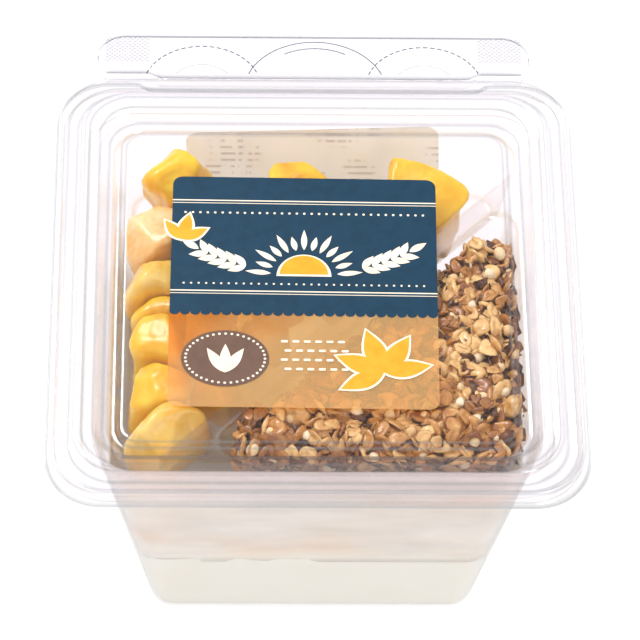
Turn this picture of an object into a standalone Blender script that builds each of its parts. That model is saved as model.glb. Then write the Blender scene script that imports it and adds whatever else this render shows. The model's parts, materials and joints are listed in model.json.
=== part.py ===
"""Yogurt parfait in its shut, clear snap pack.

A tapered tub holds yogurt in its lower third. A thin insert tray rests on a ledge
under the tub's rim, and a slanting divider splits it into a fruit pocket and a
granola pocket. A stepped lid is snapped over the rim, and a folded tear strip joins
lid and tub along the back. Nothing moves until the strip is torn off.

The origin is at the centre of the tub's underside, on the ground. +Z is up, -Y is the
front and the tear strip points along +Y. Units are metres.
"""
import math

import bmesh
import bpy
from mathutils import Matrix, Vector, noise

MM = 0.001

# Driving dimensions
RIM_TOP = 84.4 * MM          # ground to the top of the lid's outer rim
RIM_HALF = 62.4 * MM         # half the width of the lid across the top of its rim
TUB_FOOT_HALF = 39.9 * MM    # half the width of the tub, carried down to the ground
TUB_DRAFT = 0.1643           # how far the tub's wall leans out for each unit of height
SHEET = 0.45 * MM            # wall of the formed sheet
GAP = 0.3 * MM               # clearance kept between pieces that touch
YOGURT_LEVEL = 28.0 * MM
POCKET_DEPTH = 20.6 * MM     # tray rim to the underside of its pockets
LABEL_SIZE = (64.0 * MM, 69.0 * MM)
BACK_LABEL_SIZE = (63.0 * MM, 48.0 * MM)
STRIP_HALF = 54.0 * MM       # half the length of the tear strip
STRIP_DEPTH = 15.2 * MM      # how far the tear strip stands out behind the rim

# Levels, measured from the ground
MOAT_FLOOR = RIM_TOP - 2.8 * MM
STEP_FLOOR = RIM_TOP - 4.1 * MM
PANEL_TOP = RIM_TOP - 3.0 * MM
TUB_FLANGE_TOP = MOAT_FLOOR - SHEET - GAP
TRAY_RIM_TOP = STEP_FLOOR - SHEET - GAP
TRAY_RIM_UNDER = TRAY_RIM_TOP - SHEET
LEDGE_TOP = TRAY_RIM_UNDER - GAP
POCKET_UNDER = TRAY_RIM_UNDER - POCKET_DEPTH
POCKET_FLOOR = POCKET_UNDER + SHEET

TRAY_MOUTH_HALF = 49.7 * MM  # half the outer width of the tray's pockets at the top
TRAY_DRAFT = 0.1512
LEDGE_WIDTH = 2.4 * MM       # the tub's flat ledge, on which the tray's rim rests
LEDGE_UNDER = LEDGE_TOP - SHEET

ARC_STEPS = 6                # facets in each rounded corner of the pack
HINGE_LINE = RIM_HALF - 0.7 * MM  # the lid's back edge, along the tear strip
NOTCH_HALF = 42.0 * MM       # half the length of the rim that the tear strip replaces
STRIP_SHEET = 0.35 * MM
STRIP_FOLD = 0.9 * MM        # height of the fold along the strip's far edge
STRIP_CORNER = 6.5 * MM
LABEL_THICKNESS = 0.15 * MM
DIVIDER_FRUIT_SIDE = 13.2 * MM    # the divider's top edges lie on y = x - this
DIVIDER_GRANOLA_SIDE = 18.2 * MM

COLOURS = {
    "clear_pet": (0.93, 0.94, 0.95, 1.0),
    "yogurt": (0.90, 0.86, 0.78, 1.0),
    "fruit_deep": (0.90, 0.58, 0.02, 1.0),
    "fruit_bright": (0.91, 0.66, 0.06, 1.0),
    "fruit_pale": (0.87, 0.68, 0.26, 1.0),
    "fruit_peach": (0.88, 0.63, 0.30, 1.0),
    "granola": (0.50, 0.27, 0.09, 1.0),
    "front_label": (0.03, 0.09, 0.14, 1.0),
    "back_label": (0.84, 0.75, 0.62, 1.0),
}


# ---------------------------------------------------------------- outlines
def tub_half(height):
    """Half the outer width of the tub's wall at a height above the ground."""
    return TUB_FOOT_HALF + TUB_DRAFT * height


def tub_corner(height):
    """Outer corner radius of the tub, which opens out towards the rim."""
    return 6.0 * MM + 4.2 * MM * height / RIM_TOP


def inset_polygon(points, distance):
    """Move every edge of a convex, anticlockwise polygon inwards."""
    count = len(points)
    lines = []
    for index in range(count):
        start = Vector(points[index])
        along = (Vector(points[(index + 1) % count]) - start).normalized()
        inward = Vector((-along.y, along.x))
        lines.append((start + inward * distance, along))
    corners = []
    for index in range(count):
        before, along_before = lines[index - 1]
        after, along_after = lines[index]
        offset = after - before
        reach = offset.cross(along_after) / along_before.cross(along_after)
        corners.append(before + along_before * reach)
    return corners


def rounded_outline(points, radii, steps=ARC_STEPS):
    """Round the corners of a convex, anticlockwise polygon with arcs."""
    outline = []
    count = len(points)
    for index in range(count):
        corner = Vector(points[index])
        arriving = (corner - Vector(points[index - 1])).normalized()
        leaving = (Vector(points[(index + 1) % count]) - corner).normalized()
        turn = arriving.angle(leaving)
        radius = radii[index]
        start = corner - arriving * radius * math.tan(turn / 2)
        centre = start + Vector((-arriving.y, arriving.x)) * radius
        spoke = start - centre
        for step in range(steps + 1):
            angle = turn * step / steps
            outline.append(centre + Matrix.Rotation(angle, 2) @ spoke)
    return outline


def square_corners(half):
    return [(half, -half), (half, half), (-half, half), (-half, -half)]


def rounded_square(half, radius, steps=ARC_STEPS):
    return rounded_outline(square_corners(half), [radius] * 4, steps)


def fruit_pocket_corners(half):
    cut = DIVIDER_FRUIT_SIDE
    return [(cut - half, -half), (half, half - cut), (half, half), (-half, half), (-half, -half)]


def granola_pocket_corners(half):
    cut = DIVIDER_GRANOLA_SIDE
    return [(cut - half, -half), (half, -half), (half, half - cut)]


# ---------------------------------------------------------------- mesh tools
def add_ring(bm, outline, height):
    return [bm.verts.new((point[0], point[1], height)) for point in outline]


def bridge(bm, lower, upper):
    """Join two rings of equal count with quads that face away from the axis."""
    count = len(lower)
    for index in range(count):
        after = (index + 1) % count
        bm.faces.new((lower[index], lower[after], upper[after], upper[index]))


def bridge_all(bm, rings):
    for lower, upper in zip(rings, rings[1:]):
        bridge(bm, lower, upper)


def make_object(name, bm, material, collection):
    mesh = bpy.data.meshes.new(name)
    bm.to_mesh(mesh)
    bm.free()
    mesh.materials.append(material)
    mesh.shade_smooth()
    mesh.set_sharp_from_angle(angle=math.radians(40))
    obj = bpy.data.objects.new(name, mesh)
    collection.objects.link(obj)
    return obj


def thicken(obj, thickness):
    """Give an open formed sheet its wall, on the side its faces turn away from."""
    wall = obj.modifiers.new("formed_sheet", "SOLIDIFY")
    wall.thickness = thickness
    wall.offset = -1.0
    wall.use_even_offset = True


def box_cutter(name, low, high, collection):
    bpy.ops.mesh.primitive_cube_add(size=1.0)
    cutter = bpy.context.object
    cutter.name = name
    for owner in list(cutter.users_collection):
        owner.objects.unlink(cutter)
    collection.objects.link(cutter)
    low, high = Vector(low), Vector(high)
    cutter.data.transform(Matrix.LocRotScale((low + high) / 2, None, high - low))
    cutter.hide_render = True
    cutter.display_type = "WIRE"
    return cutter


def cut(obj, cutter):
    boolean = obj.modifiers.new("cut_" + cutter.name, "BOOLEAN")
    boolean.operation = "DIFFERENCE"
    boolean.object = cutter


def heap(bm, corners, radii, levels, top_height, rings=6):
    """A closed mass: walls through the levels, then a relief surface over them.

    levels is a list of (inset, height) from the floor up. top_height gives the
    surface's height at a point and how far in from the edge that point is, from
    0 at the wall to 1 in the middle.
    """
    walls = []
    for inset, height in levels:
        outline = rounded_outline(inset_polygon(corners, inset), radii)
        walls.append(add_ring(bm, outline, height))
    rim_inset = levels[-1][0]
    rim = rounded_outline(inset_polygon(corners, rim_inset), radii)
    middle = sum(rim, Vector((0.0, 0.0))) / len(rim)
    for step in range(rings):
        share = step / rings
        ring = []
        for point in rim:
            place = point.lerp(middle, share)
            ring.append(bm.verts.new((place.x, place.y, top_height(place, share))))
        walls.append(ring)
    bm.faces.new(list(reversed(walls[0])))
    bridge_all(bm, walls)
    peak = bm.verts.new((middle.x, middle.y, top_height(middle, 1.0)))
    last = walls[-1]
    for index in range(len(last)):
        bm.faces.new((last[index], last[(index + 1) % len(last)], peak))


# ---------------------------------------------------------------- the pack
def build_tub(material, collection):
    """Outer skin from the foot up to the flange's turned-down lip."""
    flange_under = TUB_FLANGE_TOP - SHEET
    riser = tub_half(LEDGE_UNDER) + LEDGE_WIDTH
    lip = RIM_HALF - 1.0 * MM
    profile = [
        (TUB_FOOT_HALF - 2.4 * MM, 0.0),
        (TUB_FOOT_HALF - 1.1 * MM, 0.35 * MM),
        (TUB_FOOT_HALF - 0.2 * MM, 1.3 * MM),
        (tub_half(3.0 * MM), 3.0 * MM),
        (tub_half(YOGURT_LEVEL), YOGURT_LEVEL),
        (tub_half(POCKET_UNDER), POCKET_UNDER),
        (tub_half(LEDGE_UNDER), LEDGE_UNDER),
        (riser, LEDGE_UNDER),
        (riser + 0.2 * MM, flange_under),
        (lip - 0.5 * MM, flange_under),
        (lip, flange_under - 0.4 * MM),
        (lip + 0.1 * MM, flange_under - 1.3 * MM),
    ]
    bm = bmesh.new()
    rings = []
    for half, height in profile:
        corner = tub_corner(height) + max(0.0, half - tub_half(height)) * 0.35
        rings.append(add_ring(bm, rounded_square(half, corner), height))
    bm.faces.new(list(reversed(rings[0])))
    bridge_all(bm, rings)
    tub = make_object("tub", bm, material, collection)
    thicken(tub, SHEET)
    return tub


def build_lid(material, collection, cutters):
    """Top skin from the skirt's edge in over the rim, the moat and the step."""
    profile = [
        (RIM_HALF + 1.2 * MM, RIM_TOP - 5.0 * MM, 13.4 * MM),
        (RIM_HALF + 0.2 * MM, RIM_TOP - 0.7 * MM, 13.2 * MM),
        (RIM_HALF, RIM_TOP - 0.15 * MM, 13.0 * MM),
        (RIM_HALF - 0.4 * MM, RIM_TOP, 12.8 * MM),
        (RIM_HALF - 0.9 * MM, RIM_TOP - 0.2 * MM, 12.6 * MM),
        (RIM_HALF - 1.9 * MM, MOAT_FLOOR, 12.2 * MM),
        (58.2 * MM, MOAT_FLOOR, 11.2 * MM),
        (57.3 * MM, RIM_TOP + 0.3 * MM, 10.8 * MM),
        (56.8 * MM, RIM_TOP + 0.8 * MM, 10.6 * MM),
        (56.2 * MM, RIM_TOP + 0.9 * MM, 10.4 * MM),
        (55.4 * MM, RIM_TOP + 0.6 * MM, 10.0 * MM),
        (52.7 * MM, RIM_TOP + 0.1 * MM, 8.8 * MM),
        (52.1 * MM, RIM_TOP - 0.4 * MM, 8.5 * MM),
        (50.4 * MM, STEP_FLOOR, 7.6 * MM),
        (47.4 * MM, STEP_FLOOR, 5.2 * MM),
        (46.6 * MM, PANEL_TOP - 0.2 * MM, 4.6 * MM),
        (45.3 * MM, PANEL_TOP, 3.6 * MM),
    ]
    bm = bmesh.new()
    rings = []
    for half, height, corner in profile:
        rings.append(add_ring(bm, rounded_square(half, corner), height))
    bm.faces.new(rings[-1])
    bridge_all(bm, rings)
    lid = make_object("lid", bm, material, collection)
    thicken(lid, SHEET)
    notch = box_cutter(
        "hinge_notch",
        (-NOTCH_HALF, HINGE_LINE, RIM_TOP - 7 * MM),
        (NOTCH_HALF, HINGE_LINE + 10 * MM, RIM_TOP + 2 * MM),
        cutters,
    )
    cut(lid, notch)
    return lid


def pocket_radii(corners, height, foot_inset):
    """Corners that follow the tub's inside, tighter towards the foot and the divider."""
    divider_corner = 5.0 * MM if len(corners) == 3 else 2.0 * MM
    radii = []
    for across, along in corners:
        against_wall = abs(abs(across) - abs(along)) < 1 * MM
        wall_corner = tub_corner(height) - 1.3 * MM - 1.4 * foot_inset
        radii.append(wall_corner if against_wall else divider_corner)
    return radii


def build_tray(material, collection):
    """A flat rim with two pockets let down from it."""
    bm = bmesh.new()
    rim_half = tub_half(LEDGE_UNDER) + LEDGE_WIDTH - SHEET - GAP
    outer = add_ring(bm, rounded_square(rim_half, 10.4 * MM), TRAY_RIM_UNDER)
    edges = [bm.edges.new((outer[i - 1], outer[i])) for i in range(len(outer))]
    foot_curve = ((1.0, 3.0), (0.985, 1.4), (0.93, 0.3), (0.85, 0.0), (0.0, 0.0))
    for pocket_corners in (fruit_pocket_corners, granola_pocket_corners):
        corners = pocket_corners(TRAY_MOUTH_HALF)
        rings = []
        for depth, foot_inset in foot_curve:
            height = TRAY_RIM_UNDER - POCKET_DEPTH * depth
            inset = TRAY_DRAFT * POCKET_DEPTH * depth + foot_inset * MM
            radii = pocket_radii(corners, height, foot_inset * MM)
            outline = rounded_outline(inset_polygon(corners, inset), radii)
            rings.append(add_ring(bm, outline, height))
        bm.faces.new(list(reversed(rings[0])))
        bridge_all(bm, rings)
        mouth = rings[-1]
        edges += [bm.edges.get((mouth[i - 1], mouth[i])) for i in range(len(mouth))]
    bmesh.ops.triangle_fill(bm, use_beauty=True, edges=edges, normal=(0.0, 0.0, -1.0))
    bm.normal_update()
    for face in bm.faces:
        if abs(face.calc_center_median().z - TRAY_RIM_UNDER) < 0.01 * MM and face.normal.z > 0:
            face.normal_flip()
    tray = make_object("insert_tray", bm, material, collection)
    thicken(tray, SHEET)
    return tray


def build_tear_strip(material, collection):
    """One folded sheet: out from the lid, round the far edge and back to the tub."""
    near = HINGE_LINE + 2 * GAP
    past_the_notch = 1.8 * MM
    upper_level = RIM_TOP - STRIP_SHEET
    lower_level = TUB_FLANGE_TOP - 0.5 * MM
    middle = (upper_level + lower_level) / 2
    bm = bmesh.new()
    bmesh.ops.create_grid(bm, x_segments=30, y_segments=10, size=1.0)
    for vert in bm.verts:
        along, across = vert.co.x, vert.co.y
        x = along * STRIP_HALF
        past_straight = max(0.0, abs(x) - (STRIP_HALF - STRIP_CORNER))
        rounding = STRIP_CORNER - math.sqrt(STRIP_CORNER ** 2 - past_straight ** 2)
        far = RIM_HALF + STRIP_DEPTH - rounding
        start = near + (past_the_notch if abs(x) > NOTCH_HALF - 4 * MM else 0.0)
        outwards = math.cos(across * math.pi / 2) ** 0.55
        half_height = (upper_level - middle) * (1.0 - outwards) + STRIP_FOLD / 2 * outwards
        rise = max(-1.0, min(1.0, across * 4.0))
        vert.co = (x, start + (far - start) * outwards, middle + half_height * rise)
    bmesh.ops.reverse_faces(bm, faces=bm.faces)
    strip = make_object("tear_strip", bm, material, collection)
    thicken(strip, STRIP_SHEET)
    return strip


# ---------------------------------------------------------------- the food
def build_yogurt(material, collection):
    """Fills the tub's foot. Its top is spooned level, with soft folds left in it."""
    clear = SHEET + 1.25 * GAP
    corners = square_corners(tub_half(YOGURT_LEVEL))

    def inset_at(height):
        return tub_half(YOGURT_LEVEL) - tub_half(height) + clear

    def surface(place, share):
        swirl = noise.noise(Vector((place.x, place.y, 0.0)) * 42.0)
        fine = noise.noise(Vector((place.x, place.y, 0.05)) * 110.0)
        return YOGURT_LEVEL + (2.0 * swirl + 0.8 * fine) * MM * (0.45 + share * 0.55)

    foot = [
        (inset_at(0.0) + 2.3 * MM, SHEET + GAP),
        (inset_at(1.5 * MM) + 0.7 * MM, 1.5 * MM),
        (inset_at(3.0 * MM), 3.0 * MM),
        (inset_at(14.0 * MM), 14.0 * MM),
    ]
    bm = bmesh.new()
    heap(bm, corners, [tub_corner(YOGURT_LEVEL) - clear] * 4, foot, surface, rings=9)
    for vert in bm.verts:
        if vert.co.z > 15 * MM:
            spread = (tub_half(vert.co.z) - clear) / (tub_half(14.0 * MM) - clear)
            vert.co.x *= spread
            vert.co.y *= spread
    return make_object("yogurt", bm, material, collection)


def build_granola(material, collection):
    """The heap out to its uneven outline, lower in the far corner of its pocket."""
    half = TRAY_MOUTH_HALF
    corners = granola_pocket_corners(half)
    clear = SHEET + GAP
    far_corner = Vector((half, half - DIVIDER_GRANOLA_SIDE))

    def surface(place, share):
        lump = noise.noise(Vector((place.x, place.y, 0.2)) * 95.0)
        fine = noise.noise(Vector((place.x, place.y, 0.6)) * 260.0)
        slump = max(0.0, 1.0 - (place - far_corner).length / (26 * MM))
        crown = 2.6 * MM * math.sin(math.pi / 2 * min(1.0, share * 2.2))
        crest = RIM_TOP - 8.4 * MM + crown - 9.0 * MM * slump
        return min(crest + (1.4 * lump + 1.0 * fine) * MM, PANEL_TOP - SHEET - 0.8 * MM)

    levels = []
    for depth, extra in ((1.0, 3.4), (0.93, 0.9), (0.8, 0.2), (0.45, 0.1)):
        height = TRAY_RIM_UNDER - POCKET_DEPTH * depth + (clear if depth == 1.0 else 0.0)
        inset = TRAY_DRAFT * POCKET_DEPTH * depth + extra * MM + clear
        levels.append((inset, height))
    bm = bmesh.new()
    radii = [5.0 * MM, tub_corner(POCKET_UNDER), 5.0 * MM]
    heap(bm, corners, radii, levels, surface, rings=9)
    return make_object("granola", bm, material, collection)


# Each chunk: name, place of its middle in mm (height from the pocket's floor),
# size in mm, turn about X, Y and Z in degrees, taper, colour.
CHUNKS = [
    ("fruit_back_left", (-29.8, 36.3, 10.0), (15.0, 13.0, 16.4), (7, -6, 38), 0.24, "fruit_deep"),
    ("fruit_back", (-4.6, 37.4, 8.9), (14.6, 12.2, 14.6), (-6, 5, -4), 0.14, "fruit_deep"),
    ("fruit_back_small", (9.2, 34.8, 7.6), (10.6, 10.4, 12.8), (4, 6, 12), 0.14, "fruit_bright"),
    ("fruit_back_right", (26.2, 33.3, 9.2), (19.6, 13.8, 15.2), (5, 4, -32), 0.14, "fruit_bright"),
    ("fruit_left_1", (-38.2, 22.0, 9.2), (12.6, 12.2, 15.8), (0, -4, 2), 0.10, "fruit_peach"),
    ("fruit_left_2", (-38.3, 8.8, 8.8), (13.0, 11.4, 15.2), (4, 2, -3), 0.12, "fruit_pale"),
    ("fruit_left_3", (-38.6, -1.8, 7.4), (12.4, 7.0, 12.4), (-3, 2, 2), 0.10, "fruit_bright"),
    ("fruit_left_4", (-38.0, -11.8, 8.9), (13.0, 10.4, 15.4), (3, -3, -3), 0.10, "fruit_bright"),
    ("fruit_left_5", (-37.6, -24.0, 9.0), (13.0, 11.4, 15.8), (3, -3, -4), 0.12, "fruit_bright"),
    ("fruit_front_left", (-36.5, -36.4, 8.6), (11.4, 10.4, 14.8), (-4, 3, 45), 0.14, "fruit_pale"),
    ("fruit_mid_1", (-23.4, 22.6, 8.6), (13.8, 12.4, 14.4), (4, 4, 10), 0.14, "fruit_deep"),
    ("fruit_mid_2", (-9.2, 23.4, 8.4), (12.8, 12.4, 14.0), (-4, -5, -8), 0.14, "fruit_bright"),
    ("fruit_mid_3", (6.1, 21.4, 8.0), (12.2, 11.8, 13.2), (4, 4, 20), 0.14, "fruit_pale"),
    ("fruit_mid_4", (-23.8, 8.4, 8.4), (13.0, 12.0, 14.0), (-4, 4, -6), 0.14, "fruit_bright"),
    ("fruit_mid_5", (-9.4, 8.8, 8.0), (11.8, 12.2, 13.4), (3, 0, 14), 0.12, "fruit_deep"),
    ("fruit_mid_6", (-24.1, -7.4, 8.4), (12.6, 11.2, 14.0), (3, -4, 6), 0.14, "fruit_deep"),
    ("fruit_mid_7", (4.6, 7.2, 7.4), (9.6, 9.8, 12.2), (4, 3, 42), 0.12, "fruit_bright"),
    ("fruit_mid_8", (19.2, 17.2, 7.2), (8.0, 9.0, 11.8), (-3, 4, 45), 0.12, "fruit_deep"),
    ("fruit_mid_9", (-11.1, -5.6, 7.6), (9.4, 9.8, 12.6), (3, -3, 44), 0.12, "fruit_pale"),
    ("fruit_mid_10", (-23.0, -20.6, 7.8), (9.8, 10.0, 13.2), (-3, 3, 40), 0.12, "fruit_bright"),
]
CHUNK_EDGE = 2.2 * MM        # how far a chunk's cut edges are rounded off


def uneven(place):
    """A steady, smooth wobble in three directions, the same on every run."""
    along = (Vector((0.0, 0.0, 31.7)), Vector((0.0, 31.7, 0.0)), Vector((31.7, 0.0, 0.0)))
    return Vector([noise.noise(place + shift) for shift in along])


def build_chunk(spec, seed, materials, collection):
    """A hand-cut lump: a cube whose corners are drawn in unevenly, edges softened."""
    name, place, size, turn, taper, colour = spec
    bpy.ops.mesh.primitive_cube_add(size=1.0)
    chunk = bpy.context.object
    chunk.name = name
    chunk.data.name = name
    for owner in list(chunk.users_collection):
        owner.objects.unlink(chunk)
    collection.objects.link(chunk)
    for vert in chunk.data.vertices:
        pull = uneven(vert.co * 3.1 + Vector((seed * 7.3, seed * 1.9, 0.0)))
        narrow = 1.0 - taper * (vert.co.z + 0.5)
        vert.co.x = (vert.co.x * narrow + pull.x * 0.12) * size[0] * MM
        vert.co.y = (vert.co.y * narrow + pull.y * 0.12) * size[1] * MM
        vert.co.z = (vert.co.z + pull.z * 0.10) * size[2] * MM
    chunk.location = (place[0] * MM, place[1] * MM, POCKET_FLOOR + place[2] * MM)
    chunk.rotation_euler = [math.radians(angle) for angle in turn]
    edges = chunk.modifiers.new("soft_edges", "BEVEL")
    edges.width = CHUNK_EDGE
    edges.segments = 2
    edges.limit_method = "NONE"
    chunk.data.materials.append(materials[colour])
    chunk.data.shade_smooth()
    return chunk


# ---------------------------------------------------------------- the labels
def label_plate(name, size, corner, material, collection):
    """A flat label with rounded corners, standing on z = 0 about its own middle."""
    width, depth = size
    outline = [(width / 2, -depth / 2), (width / 2, depth / 2),
               (-width / 2, depth / 2), (-width / 2, -depth / 2)]
    bm = bmesh.new()
    ring = add_ring(bm, rounded_outline(outline, [corner] * 4, 5), 0.0)
    face = bm.faces.new(ring)
    lifted = bmesh.ops.extrude_face_region(bm, geom=[face])
    moved = [item for item in lifted["geom"] if isinstance(item, bmesh.types.BMVert)]
    bmesh.ops.translate(bm, verts=moved, vec=(0.0, 0.0, LABEL_THICKNESS))
    bmesh.ops.recalc_face_normals(bm, faces=bm.faces)
    return make_object(name, bm, material, collection)


def build_front_label(material, collection):
    label = label_plate("front_label", LABEL_SIZE, 2.2 * MM, material, collection)
    label.location = (-3.0 * MM, -2.4 * MM, PANEL_TOP + GAP)
    label.rotation_euler = (0.0, 0.0, math.radians(-0.7))
    return label


def build_back_label(material, collection):
    """Lies against the outside of the leaning rear wall."""
    label = label_plate("back_label", BACK_LABEL_SIZE, 3.0 * MM, material, collection)
    lean = math.atan(TUB_DRAFT)
    height = LEDGE_UNDER - BACK_LABEL_SIZE[1] / 2 - 2.4 * MM
    tilt = Matrix.Rotation(-math.pi / 2 - lean, 4, "X") @ Matrix.Rotation(math.radians(-2.4), 4, "Z")
    away = (GAP + 0.05 * MM) / math.cos(lean)
    label.matrix_world = Matrix.Translation((0.6 * MM, tub_half(height) + away, height)) @ tilt
    return label


# ---------------------------------------------------------------- assembly
def make_material(name, colour):
    material = bpy.data.materials.new(name)
    material.use_nodes = True
    shader = material.node_tree.nodes["Principled BSDF"]
    shader.inputs["Base Color"].default_value = colour
    shader.inputs["Metallic"].default_value = 0.0
    shader.inputs["Roughness"].default_value = 0.08 if name == "clear_pet" else 0.45
    shader.inputs["Transmission Weight"].default_value = 0.9 if name == "clear_pet" else 0.0
    return material


def make_collection(name):
    collection = bpy.data.collections.new(name)
    bpy.context.scene.collection.children.link(collection)
    return collection


def clear_scene():
    for obj in list(bpy.data.objects):
        bpy.data.objects.remove(obj, do_unlink=True)


def main():
    clear_scene()
    parts = make_collection("yogurt_parfait")
    cutters = make_collection("cutters")
    materials = {name: make_material(name, colour) for name, colour in COLOURS.items()}
    build_tub(materials["clear_pet"], parts)
    build_lid(materials["clear_pet"], parts, cutters)
    build_tray(materials["clear_pet"], parts)
    build_tear_strip(materials["clear_pet"], parts)
    build_yogurt(materials["yogurt"], parts)
    build_granola(materials["granola"], parts)
    for seed, spec in enumerate(CHUNKS, start=1):
        build_chunk(spec, seed, materials, parts)
    build_front_label(materials["front_label"], parts)
    build_back_label(materials["back_label"], parts)


main()
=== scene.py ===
# %% [markdown]
# # A yogurt parfait in a clear snap pack
#
# The pack is one thin sheet of clear PET, heated and drawn over moulds: a tapered tub,
# a tray with two pockets, a stepped lid and a strip along the back that is torn off to
# open it. We see almost everything through two or three layers of it, so the lesson is
# mostly about clear sheet, and then about making wet fruit, loose granola and yogurt
# that still read well behind it.
#
# Every size below is in millimetres and is turned to metres by MM, and the main places
# are measured from the frame's own boxes.

# %% Load the frame
import json
import math
import random

import bmesh
import bpy
import numpy as np
from mathutils import Euler, Matrix, Vector, noise

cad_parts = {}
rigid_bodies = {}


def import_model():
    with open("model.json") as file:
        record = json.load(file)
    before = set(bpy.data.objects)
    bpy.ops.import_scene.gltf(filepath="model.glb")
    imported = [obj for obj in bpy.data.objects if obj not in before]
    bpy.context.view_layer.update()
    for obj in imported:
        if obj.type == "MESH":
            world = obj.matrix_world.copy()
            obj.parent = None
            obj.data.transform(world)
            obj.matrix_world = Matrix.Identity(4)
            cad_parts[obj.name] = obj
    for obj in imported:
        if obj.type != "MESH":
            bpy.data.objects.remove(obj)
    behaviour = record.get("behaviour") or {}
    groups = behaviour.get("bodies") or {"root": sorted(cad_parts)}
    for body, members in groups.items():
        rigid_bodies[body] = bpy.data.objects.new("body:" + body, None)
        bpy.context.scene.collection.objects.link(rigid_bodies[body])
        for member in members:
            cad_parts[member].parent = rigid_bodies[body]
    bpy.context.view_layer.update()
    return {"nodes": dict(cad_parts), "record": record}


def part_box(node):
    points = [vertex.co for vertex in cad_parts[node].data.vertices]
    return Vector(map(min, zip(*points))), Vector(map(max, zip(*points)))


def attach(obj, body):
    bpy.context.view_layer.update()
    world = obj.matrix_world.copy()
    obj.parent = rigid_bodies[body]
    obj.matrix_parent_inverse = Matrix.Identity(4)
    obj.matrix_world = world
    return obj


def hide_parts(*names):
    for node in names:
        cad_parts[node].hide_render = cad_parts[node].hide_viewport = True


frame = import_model()
MM = 0.001
print("the packed model has", len(frame["nodes"]), "nodes")

# %% [markdown]
# ## Levels that every piece shares
#
# The lid's highest bead is the top of its box, and its skirt is the widest thing in the
# pack. The other levels follow from those two, as they do when the mould is designed:
# each sheet rests on the next with a hair of clearance.

# %% Measure the frame
SHEET = 0.45                  # wall of the formed sheet
GAP = 0.3                     # clearance between sheets that touch
TUB_DRAFT = 0.1643            # how far the tub's wall leans out for each unit of height
TRAY_DRAFT = 0.1512
POCKET_DEPTH = 20.6
YOGURT_LEVEL = 28.0

lid_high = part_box("lid")[1]
RIM_TOP = lid_high.z / MM - 0.9
RIM_HALF = lid_high.x / MM - 1.2
MOAT_FLOOR = RIM_TOP - 2.8
STEP_FLOOR = RIM_TOP - 4.1
PANEL_TOP = RIM_TOP - 3.0
FLANGE_TOP = MOAT_FLOOR - SHEET - GAP
TRAY_RIM_TOP = STEP_FLOOR - SHEET - GAP
TRAY_RIM_UNDER = TRAY_RIM_TOP - SHEET
LEDGE_UNDER = TRAY_RIM_UNDER - GAP - SHEET
POCKET_UNDER = TRAY_RIM_UNDER - POCKET_DEPTH
POCKET_FLOOR = POCKET_UNDER + SHEET
TUB_FOOT_HALF = 39.9
TRAY_MOUTH_HALF = 49.7        # half the outer width of the tray's pockets at the top
LEDGE_WIDTH = 2.4
DIVIDER_FRUIT_SIDE = 13.2     # the divider's top edges lie on y = x - this
DIVIDER_GRANOLA_SIDE = 18.2
HINGE_LINE = RIM_HALF - 0.7   # where the lid's back edge meets the tear strip
NOTCH_HALF = 42.0


def tub_half(height):
    """Half the tub's outer width at a height, in mm."""
    return TUB_FOOT_HALF + TUB_DRAFT * height


def tub_corner(height):
    return 6.0 + 4.2 * height / RIM_TOP


print("rim top", round(RIM_TOP, 2), "mm, rim half", round(RIM_HALF, 2), "mm")

# %% [markdown]
# ## Camera
#
# A long lens from the front and well above, so the square lid keeps nearly parallel
# sides. The pack is turned a little and the camera leans a little, which is why the
# lid's edges are not quite level. The lens and the distance fix how fast things shrink
# towards the back.

# %% Place the camera
CAMERA_TURN = math.radians(2.2955)       # the pack's turn, seen from above
CAMERA_ELEVATION = math.radians(53.0224)
CAMERA_LEAN = math.radians(2.1127)
CAMERA_DISTANCE = 945.29
CAMERA_TARGET = (1.2117, -13.094)        # across and along, before the turn


def place_camera():
    back = Vector((0, -math.cos(CAMERA_ELEVATION), math.sin(CAMERA_ELEVATION)))
    right = Vector((1, 0, 0))
    up = back.cross(right)
    leaned_right = right * math.cos(CAMERA_LEAN) + up * math.sin(CAMERA_LEAN)
    leaned_up = up * math.cos(CAMERA_LEAN) - right * math.sin(CAMERA_LEAN)
    aim = Matrix((leaned_right, leaned_up, back)).transposed().to_4x4()
    target = Vector((CAMERA_TARGET[0], CAMERA_TARGET[1], RIM_TOP))
    place = Matrix.Translation((target + back * CAMERA_DISTANCE) * MM)
    data = bpy.data.cameras.new("front_above")
    data.sensor_width = 36
    data.lens = 224.3
    data.clip_start = 0.05
    camera = bpy.data.objects.new("front_above", data)
    camera.matrix_world = Matrix.Rotation(-CAMERA_TURN, 4, "Z") @ place @ aim
    bpy.context.scene.collection.objects.link(camera)
    bpy.context.scene.camera = camera
    return camera


camera = place_camera()
print("camera at", [round(value, 3) for value in camera.matrix_world.translation])

# %% [markdown]
# ## Colour and node helpers
#
# Colours are written as the hex values that a paint chart or a picture editor gives,
# and one function turns them to the linear light that shaders work in. Another small
# function adds a node with its settings and links, so that each material reads as the
# list of what it is made of.

# %% Helpers for materials
def linear(hex_colour, alpha=1.0):
    """An sRGB hex colour as the linear RGBA that shaders use."""
    channels = [int(hex_colour[i:i + 2], 16) / 255 for i in (1, 3, 5)]
    return tuple(
        c / 12.92 if c <= 0.04045 else ((c + 0.055) / 1.055) ** 2.4 for c in channels
    ) + (alpha,)


def add(tree, kind, inputs=None, **settings):
    """Add a node. inputs maps a socket's name or number to a value or to a socket."""
    node = tree.nodes.new(kind)
    for name, value in settings.items():
        setattr(node, name, value)
    for name, value in (inputs or {}).items():
        socket = node.inputs[name]
        if isinstance(value, bpy.types.NodeSocket):
            tree.links.new(value, socket)
        else:
            socket.default_value = value
    return node


def calc(tree, operation, *values, clamp=False):
    """A Math node on values or sockets, in the order of its inputs."""
    return add(tree, "ShaderNodeMath", dict(enumerate(values)), operation=operation,
               use_clamp=clamp).outputs[0]


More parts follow.
